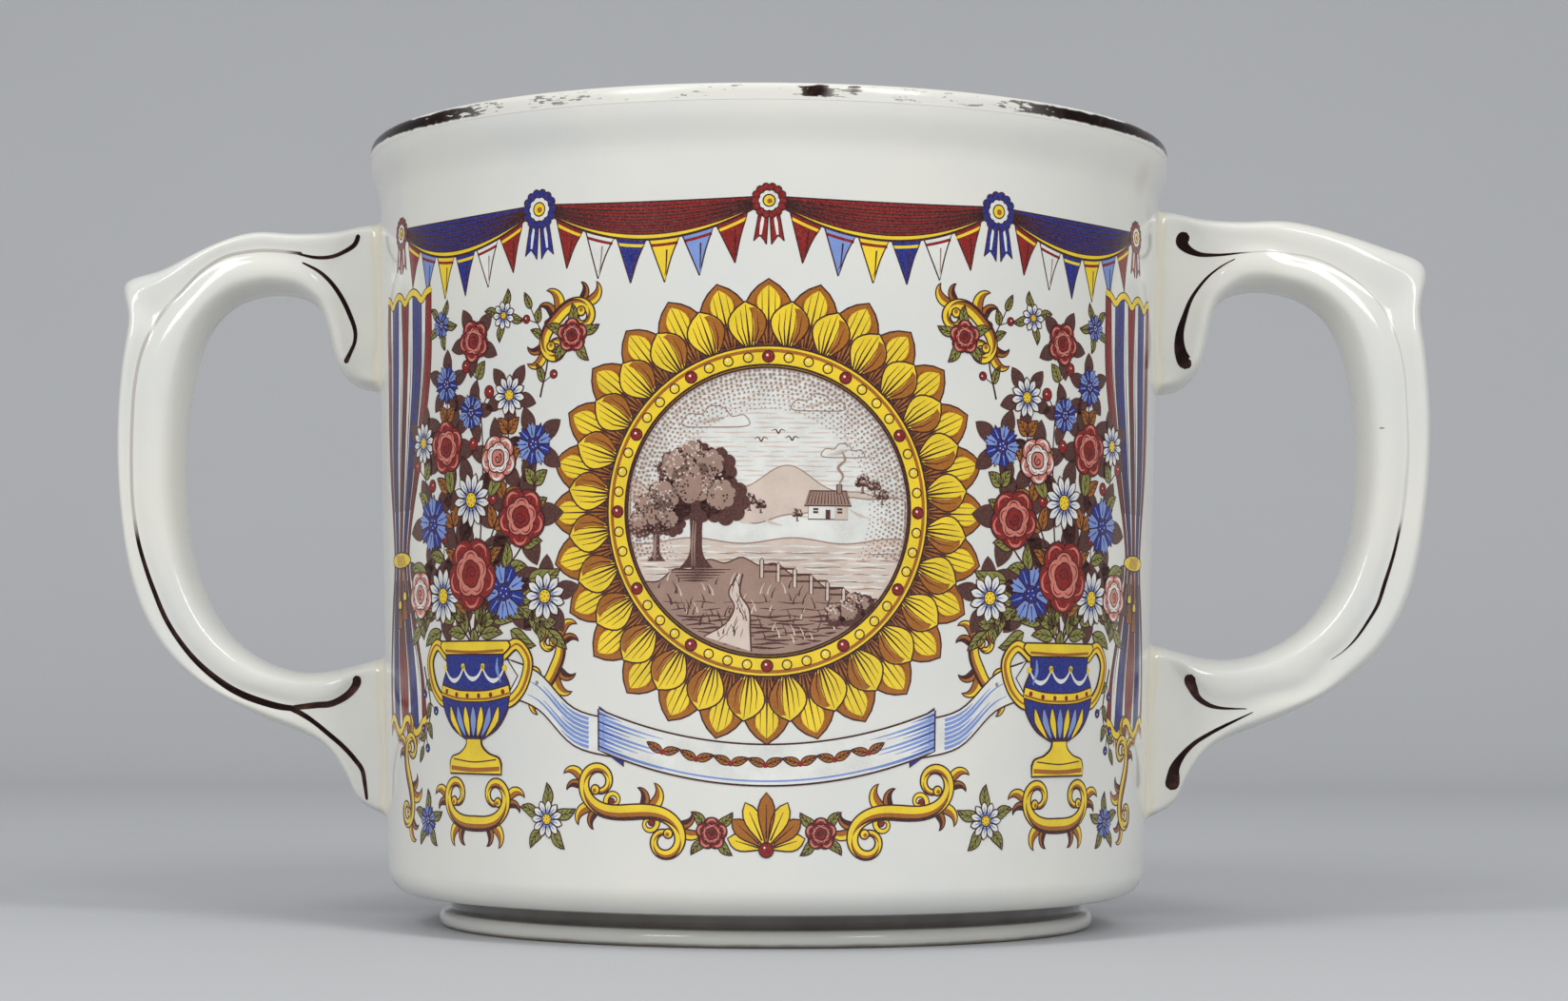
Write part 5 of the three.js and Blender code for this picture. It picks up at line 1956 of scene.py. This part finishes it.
@dataclass(frozen=True)
class Drape:
    """A striped curtain at the side of the print, gathered by a gold cord, with its top at the origin."""

    width: float = 11.4
    drop: float = 40.5
    gather: float = 25.0
    waist: float = 4.4

    def fold(self, share: float) -> Array:
        """Returns the line of a fold from top to bottom."""
        x = self.width * (share - 0.5)
        pinch = self.waist / self.width
        wave = 0.32 * math.sin(share * 19)
        top = complex(x, 0.9 * abs(math.cos(share * 9.5)) - 0.9)
        return form(
            top,
            complex(x * 0.98 + wave, -0.3 * self.gather),
            complex(x * 0.78 + 0.9 + wave * 0.6, -0.62 * self.gather),
            complex(x * pinch + 1.9, -self.gather),
            complex(x * 0.62 + 1.9, -mix(self.gather, self.drop, 0.35)),
            complex(x * 0.86 + 1.6 - wave, -mix(self.gather, self.drop, 0.7)),
            complex(x * 0.92 + 1.3, -self.drop + 0.7 * math.cos(share * 14)),
        )

    def draw(self, pen: Pen) -> None:
        """Draws the stripes, the folds between them, the fringe and the cord."""
        inks = (RED, WHITE, BLUE, BLUE, WHITE, RED) * 2
        folds = [self.fold(k / len(inks)) for k in range(len(inks) + 1)]
        for ink, left, right in zip(inks, folds, folds[1:]):
            pen.between(ink, left, right)
        for k, one in enumerate(folds):
            pen.key(one, (0.16, 0.14, 0.22, 0.26, 0.16, 0.2))
            if k < len(folds) - 1:
                middle = 0.62 * one + 0.38 * folds[k + 1]
                pen.key(middle[3:16], (0.03, 0.2, 0.14))
                pen.key(middle[20:33], (0.14, 0.2, 0.03))
        hem = form(*[one[-1] for one in folds], steps=4)
        pen.over(2).braid(hem, 0.85, 0.6)
        for at in hem[::2]:
            pen.over(2).line(OCHRE, at + row(0, -0.6j, -1.2j), (0.22, 0.3, 0.1))
        top = form(*[one[0] for one in folds], steps=4)
        pen.over(2).braid(top, 0.8, 0.56)
        cord = pen.over(4).at(1.9, -self.gather)
        cord.fill(YELLOW, oval(self.waist / 2 + 0.5, 22, 0.75), 0.14)
        for k in range(-3, 4):
            cord.over(1).line(OCHRE, [0.35 * k - 0.25 - 0.5j, 0.35 * k, 0.35 * k + 0.25 + 0.5j], 0.14)
        for x, length in ((-1, 5.2), (0.5, 6.4)):
            cord.line(OCHRE, form(x * 0.5 - 0.5j, x * 1.3 - 0.5j * length, x - 0.66j * length), 0.3)
            tassel = cord.over(1).at(x, -0.66 * length)
            tassel.fill(YELLOW, oval(0.5, 14), 0.12)
            tassel.fill(OCHRE, both_sides(row(0.35 - 0.35j, 0.62 - 1.3j, 0.72 - 2.2j)), 0.12)
            for k in (-1, 0, 1):
                tassel.key([0.2 * k - 0.6j, 0.32 * k - 1.4j, 0.42 * k - 2.1j], 0.1)


@dataclass(frozen=True)
class Ribbon:
    """A blank ribbon that hangs in a bow between two folds, with its tails beyond them."""

    half: float = 15.5
    sag: float = 3.0
    band: float = 3.6

    def draw(self, pen: Pen) -> None:
        """Draws the tails, the folds and then the middle."""
        half = self.half
        for side in pen.halves():
            spine = form(half - 2.2 - 0.9j, half + 2.5 + 0.2j, half + 6.4 + 3.4j, half + 10.0 + 4.6j)
            up = 1j * self.band * 0.46
            end = spine[-1]
            notch = [end + up, end - 1.3 + 0.1j, end - up]
            side.fill(WHITE, [*(spine + up)[:-1], *notch, *(spine - up)[:-1][::-1]], 0.15)
            for k in range(7):
                run = spine[4:] + up * (0.75 - 0.25 * k)
                side.over(1).line(SKY, run[: 5 + (k % 3) * 3], (0.3, 0.24, 0.05))
            fold = [half - 2.4 + 0.5j, half - 0.1 + 2j, half - 0.1 - 1.6j, half - 2.4 - 3.2j]
            side.over(2).fill(BLUE, fold, 0.14)
            side.over(4).line(SKY, [half - 0.5 + 1.3j, half - 0.5 - 0.2j, half - 0.5 - 1.4j], 0.16)
        middle = pen.over(4)
        x = np.linspace(-half, half, 41)
        spine = x + 1j * (self.sag * (x / half) ** 2 - self.sag)
        up = 1j * self.band / 2
        middle.fill(WHITE, np.concatenate([spine + up, (spine - up)[::-1]]), 0.16)
        for side in middle.over(1).halves():
            for k in range(9):
                start = len(spine) - 1 - (3 + (5 * k) % 7)
                side.line(SKY, spine[start:] + up * (0.84 - 0.21 * k), (0.04, 0.34))
            for k in range(5):
                start = len(spine) - 2 - (2 * k) % 3
                side.over(1).line(BLUE, spine[start - 1 :] + up * (0.8 - 0.4 * k), (0.03, 0.14))
        middle.over(1).line(SKY, spine - up * 0.78, 0.16)
        for k in range(-3, 4):
            at = spine[20 + 4 * k]
            for angle in (20, 160):
                Leaf(1.7, 0.75, OCHRE, 0).draw(middle.over(1).at(at.real - 0.1, at.imag, angle + 4 * k))
            middle.over(3).dots(RED, [at - 0.1], 0.26, 10)


@dataclass
class Print:
    """The printed panel on the front of the wall."""

    wall: Wall

    def draw(self) -> Sheet:
        """Returns the finished flat sheet. Each motif has its level, its place and its turn."""
        sheet = Sheet(self.wall)
        pen = Pen(sheet)
        same, opposite = Bend.SAME, Bend.OPPOSITE
        sides = (
            (0, Drape(), 42, 60),
            (0, Scroll(11.5, 12, opposite, tendrils=(-0.2, 0.2)), 12.3, 12.2, -4),
            (1, Scroll(11, 11, same, fronds=(-0.45, -0.16, 0.16, 0.45)), 30, 10.75),
            (0, Scroll(9, 9, opposite, 1.2), 42.4, 14.4, 62),
            (0, Scroll(7, 7, same, 1.15, fronds=(-0.36, 0, 0.36)), 20, 24.8, -62),
            (0, Scroll(7.6, 7.6, same, 1.2, fronds=(-0.4, 0, 0.4)), 19.6, 56, 136),
            (12, Posy(Daisy(1.7, 11)), 21, 11.4),
            (12, Posy(Cornflower(1.5)), 38, 10.8),
            (12, Posy(Rose(1.5)), 18, 54.4),
            (4, Posy(Cornflower(1.3), 5, 40), 34.4, 56.4),
            (4, Posy(Daisy(1.3, 9), 4, 12), 25.6, 56.6),
            (6, Posy(Rose(1.4), 4, 45), 4.9, 10.4),
            (6, Spray((38.4 + 25j, 37.2 + 21j, 38.8 + 17.6j), 1.9, BLUE), 0, 0),
            (2, Spray((21.4 + 49j, 20.6 + 53j, 22.4 + 57j), 1.9, RED), 0, 0),
            (6, Bouquet(1.08), 30, 26.9),
            (26, Urn(13.8), 30, 15.2),
        )
        middle = (
            (1, Medallion(), 0, 38.6),
            (0, Bunting(), 0, 0),
            (12, Ribbon(), 0, 19.4),
            (14, Palmette(5), 0, 9),
        )
        for half in pen.halves():
            for level, motif, *place in sides:
                motif.draw(half.over(level).at(*place))
        for level, motif, *place in middle:
            motif.draw(pen.over(level).at(*place))
        return sheet

    def build(self) -> None:
        """Lays the sheet on the wall, one piece for each ink and one for each half of the many keylines."""
        sheet = self.draw()
        end = sheet.reach
        for ink in Ink:
            finish = ink.make()
            halves = {"_left": (-end, 0), "_right": (0, end)} if ink is KEY else {"": (-end, end)}
            for word, span in halves.items():
                shape = sheet.shape(ink, *span)
                shape.piece(f"print_in_{ink.name.lower()}{word}", finish, "printed_enamel", "front_transfer")


Size = tuple[float, float]


@dataclass
class Studio:
    """The camera of the photograph, a pale sweep of paper and soft lamps."""

    distance: float = 318.3
    height: float = 22.96
    focal_pixels: float = 3371.0
    image_width: float = 1648.0
    pitch: float = 3.38
    yaw: float = 0.29
    roll: float = 0.25
    aim: float = 40.0
    sweep_front: float = 6000.0
    sweep_back: float = 700.0
    sweep_round: float = 260.0
    sweep_height: float = 1500.0
    sweep_half_width: float = 6000.0
    world: Colour = srgb(230, 230, 228)
    world_level: float = 0.59
    far_level: float = 0.52

    def camera(self) -> None:
        """Sets up the camera."""
        yaw, pitch, roll = (math.radians(angle) for angle in (self.yaw, self.pitch, self.roll))
        ahead = Vector((math.sin(yaw) * math.cos(pitch), math.cos(yaw) * math.cos(pitch), math.sin(pitch)))
        level = ahead.cross(Vector((0, 0, 1))).normalized()
        upright = level.cross(ahead)
        right = math.cos(roll) * level + math.sin(roll) * upright
        up = -math.sin(roll) * level + math.cos(roll) * upright
        lens = bpy.data.cameras.new("camera")
        lens.sensor_width = 36.0
        lens.lens = self.focal_pixels / self.image_width * lens.sensor_width
        lens.clip_start = 0.01
        lens.clip_end = 20.0
        eye = put("camera", lens)
        turn = Matrix((right, up, -ahead)).transposed().to_4x4()
        eye.matrix_world = Matrix.Translation(Vector((0, -self.distance, self.height)) * MM) @ turn
        bpy.context.scene.camera = eye

    def sweep(self) -> None:
        """Lays the paper, which rises behind the mug in one curve."""
        turn = self.sweep_round
        bend = arc((self.sweep_back - turn, turn), turn, turn, -90, 0, 24)
        outline = [(-self.sweep_front, 0.0), *bend, (self.sweep_back, self.sweep_height)]
        points = [(x, y, z) for y, z in outline for x in (-self.sweep_half_width, self.sweep_half_width)]
        faces = [(2 * i, 2 * i + 1, 2 * i + 3, 2 * i + 2) for i in range(len(outline) - 1)]
        made = put("paper_sweep", Shape(np.array(points), faces).mesh("paper_sweep", 60))
        made.data.materials.append(Paper("pale_grey_paper").make())

    def lamp(self, name: str, angles: Size, distance: float, size: Size, power: float) -> None:
        """Hangs a soft lamp that faces the mug, at an azimuth counted from the front and an elevation."""
        light = bpy.data.lights.new(name, "AREA")
        light.shape = "RECTANGLE"
        light.size = size[0] * MM
        light.size_y = size[1] * MM
        light.energy = power
        turn, rise = (math.radians(angle) for angle in angles)
        away = Vector((math.sin(turn) * math.cos(rise), -math.cos(turn) * math.cos(rise), math.sin(rise)))
        made = put(name, light)
        made.location = Vector((0, 0, self.aim * MM)) + away * distance * MM
        made.rotation_euler = away.to_track_quat("Z", "Y").to_euler()

    def build(self) -> None:
        """Builds the studio."""
        self.camera()
        self.sweep()
        self.lamp("left_softbox", (-36, 33), 900, (220, 520), 3.0)
        self.lamp("right_softbox", (35, 35), 900, (220, 520), 3.0)
        self.lamp("overhead_softbox", (0, 84), 1000, (620, 620), 0.9)
        self.room()
        bpy.context.scene.view_settings.view_transform = "Standard"

    def room(self) -> None:
        """Surrounds the sweep with an even light, seen itself in the tone of the paper far from the lamps."""
        shader = Shader("room", world=True)
        far = tuple(self.far_level * paper * light for paper, light in zip(Paper.colour, self.world))
        light = shader.node("Background", {"Color": (*self.world, 1.0), "Strength": self.world_level})
        seen = shader.node("Background", {"Color": (*far, 1.0), "Strength": 1.0})
        kinds = ("Camera", "Glossy", "Transmission")
        camera, glossy, through = (shader.node("LightPath", output=f"Is {kind} Ray") for kind in kinds)
        surface = shader.node("MixShader", {0: camera + glossy + through, 1: light, 2: seen})
        shader.node("OutputWorld", {"Surface": surface})
        bpy.context.scene.world = shader.block


WALL = Wall()

LEFT_HANDLE = Handle(
    name="left_handle",
    side=-1,
    crest_drop=8.1,
    shoulder_drop=3.8,
    spur_drop=5.1,
    top_thickness=6.3,
    bow_thickness=6.6,
    bead_width=1.8,
    projection=25.9,
    sill=24.5,
    wall=WALL,
    thin_above=38.0,
    thin_gold_and_groove_shade=srgb(188, 184, 176),
    groove=(
        (46.0, 65.7, 0.3), (49.3, 66.0, 0.3), (51.8, 65.8, 0.3), (53.7, 65.3, 0.3), (55.9, 63.9, 0.3),
        (57.8, 61.9, 0.3), (59.4, 60.2, 0.3), (60.8, 58.0, 0.3), (61.7, 55.8, 0.3), (62.3, 52.6, 0.3),
        (62.5, 48.9, 0.3), (62.5, 44.8, 0.3), (62.3, 41.0, 0.3), (61.7, 37.3, 0.36), (60.9, 34.6, 0.4),
        (60.0, 32.2, 0.44), (58.9, 29.7, 0.46), (57.5, 27.5, 0.48), (55.6, 25.3, 0.54), (53.1, 23.3, 0.62),
        (51.3, 22.3, 0.66), (49.4, 21.6, 0.66), (47.5, 21.1, 0.62), (45.6, 20.9, 0.52),
    ),
    strokes=(
        (
            (46.6, 65.7, 0.18), (44.6, 65.3, 0.32), (43.1, 65.4, 0.36), (41.9, 65.9, 0.4),
            (40.9, 66.6, 0.46), (40.6, 67.2, 0.44), (40.5, 67.8, 0.36),
        ),
        (
            (46.0, 64.8, 0.16), (44.3, 63.9, 0.34), (43.1, 62.8, 0.4), (42.1, 61.4, 0.44),
            (41.3, 59.8, 0.44), (40.7, 58.1, 0.38), (40.7, 57.0, 0.34), (41.1, 55.9, 0.36),
            (41.6, 54.8, 0.5),
        ),
        (
            (46.4, 21.0, 0.5), (43.9, 21.3, 0.6), (42.7, 21.4, 0.62), (41.4, 22.0, 0.66),
            (40.5, 22.8, 0.72), (40.1, 23.6, 0.8), (40.3, 24.3, 0.7),
        ),
        (
            (47.0, 21.1, 0.4), (45.6, 20.5, 0.5), (44.2, 19.6, 0.44), (42.7, 18.4, 0.45),
            (41.4, 17.3, 0.45), (40.2, 16.0, 0.45), (39.5, 15.0, 0.42), (39.2, 13.5, 0.36),
            (39.0, 12.0, 0.25),
        ),
    ),
)

RIGHT_HANDLE = Handle(
    name="right_handle",
    side=1,
    crest_drop=6.4,
    shoulder_drop=2.6,
    spur_drop=4.4,
    top_thickness=7.2,
    bow_thickness=7.25,
    bead_width=2.2,
    projection=27.3,
    sill=26.2,
    wall=WALL,
    marks=(Mark((60.2, -4.4, 48.9), 0.13, 0.8, 0.5, 4.0, srgb(120, 112, 106)),),
    thin_above=39.0,
    thin_gold_and_groove_shade=srgb(208, 206, 199),
    groove=(
        (46.6, 66.2, 0.12), (49.3, 66.4, 0.12), (51.5, 66.2, 0.12), (53.7, 65.8, 0.12), (55.9, 64.9, 0.12),
        (58.4, 63.2, 0.12), (60.5, 61.0, 0.12), (61.8, 58.3, 0.12), (62.6, 55.1, 0.12), (62.9, 51.0, 0.12),
        (63.0, 46.8, 0.2), (62.8, 44.0, 0.34), (62.5, 41.2, 0.3), (61.9, 38.2, 0.26), (61.4, 36.2, 0.3),
        (60.6, 33.7, 0.36), (59.9, 31.6, 0.34), (58.9, 29.9, 0.28), (57.7, 28.2, 0.2), (56.5, 27.0, 0.08),
        (55.2, 26.1, 0.04),
    ),
    strokes=(
        (
            (47.6, 66.3, 0.08), (44.0, 66.0, 0.3), (42.4, 66.1, 0.5), (41.2, 66.7, 0.9),
            (40.8, 67.35, 1.25), (41.3, 68.3, 1.15),
        ),
        (
            (46.0, 65.6, 0.08), (44.7, 64.9, 0.15), (43.2, 63.7, 0.24), (41.7, 61.7, 0.36),
            (41.0, 59.9, 0.52), (40.5, 58.0, 0.8), (40.6, 56.3, 1.15), (41.1, 55.3, 1.35),
            (41.6, 55.5, 1.0),
        ),
        (
            (47.0, 21.3, 0.08), (44.3, 21.4, 0.3), (43.2, 21.7, 0.45), (42.2, 22.4, 0.6),
            (41.7, 23.3, 0.9), (41.4, 24.1, 1.05), (41.6, 24.8, 1.1),
        ),
        (
            (47.6, 21.0, 0.08), (44.7, 19.6, 0.3), (43.2, 18.8, 0.36), (41.8, 17.9, 0.43),
            (40.7, 16.8, 0.58), (39.9, 15.5, 0.95), (39.7, 14.2, 1.35), (39.5, 13.3, 1.25),
        ),
    ),
)


def main() -> None:
    """Builds the parts in order."""
    logging.basicConfig(level=logging.INFO, format="%(name)s: %(message)s")
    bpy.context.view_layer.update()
    Cup(WALL).build()
    LEFT_HANDLE.build()
    RIGHT_HANDLE.build()
    Print(WALL).build()
    Studio().build()


if __name__ == "__main__":
    main()
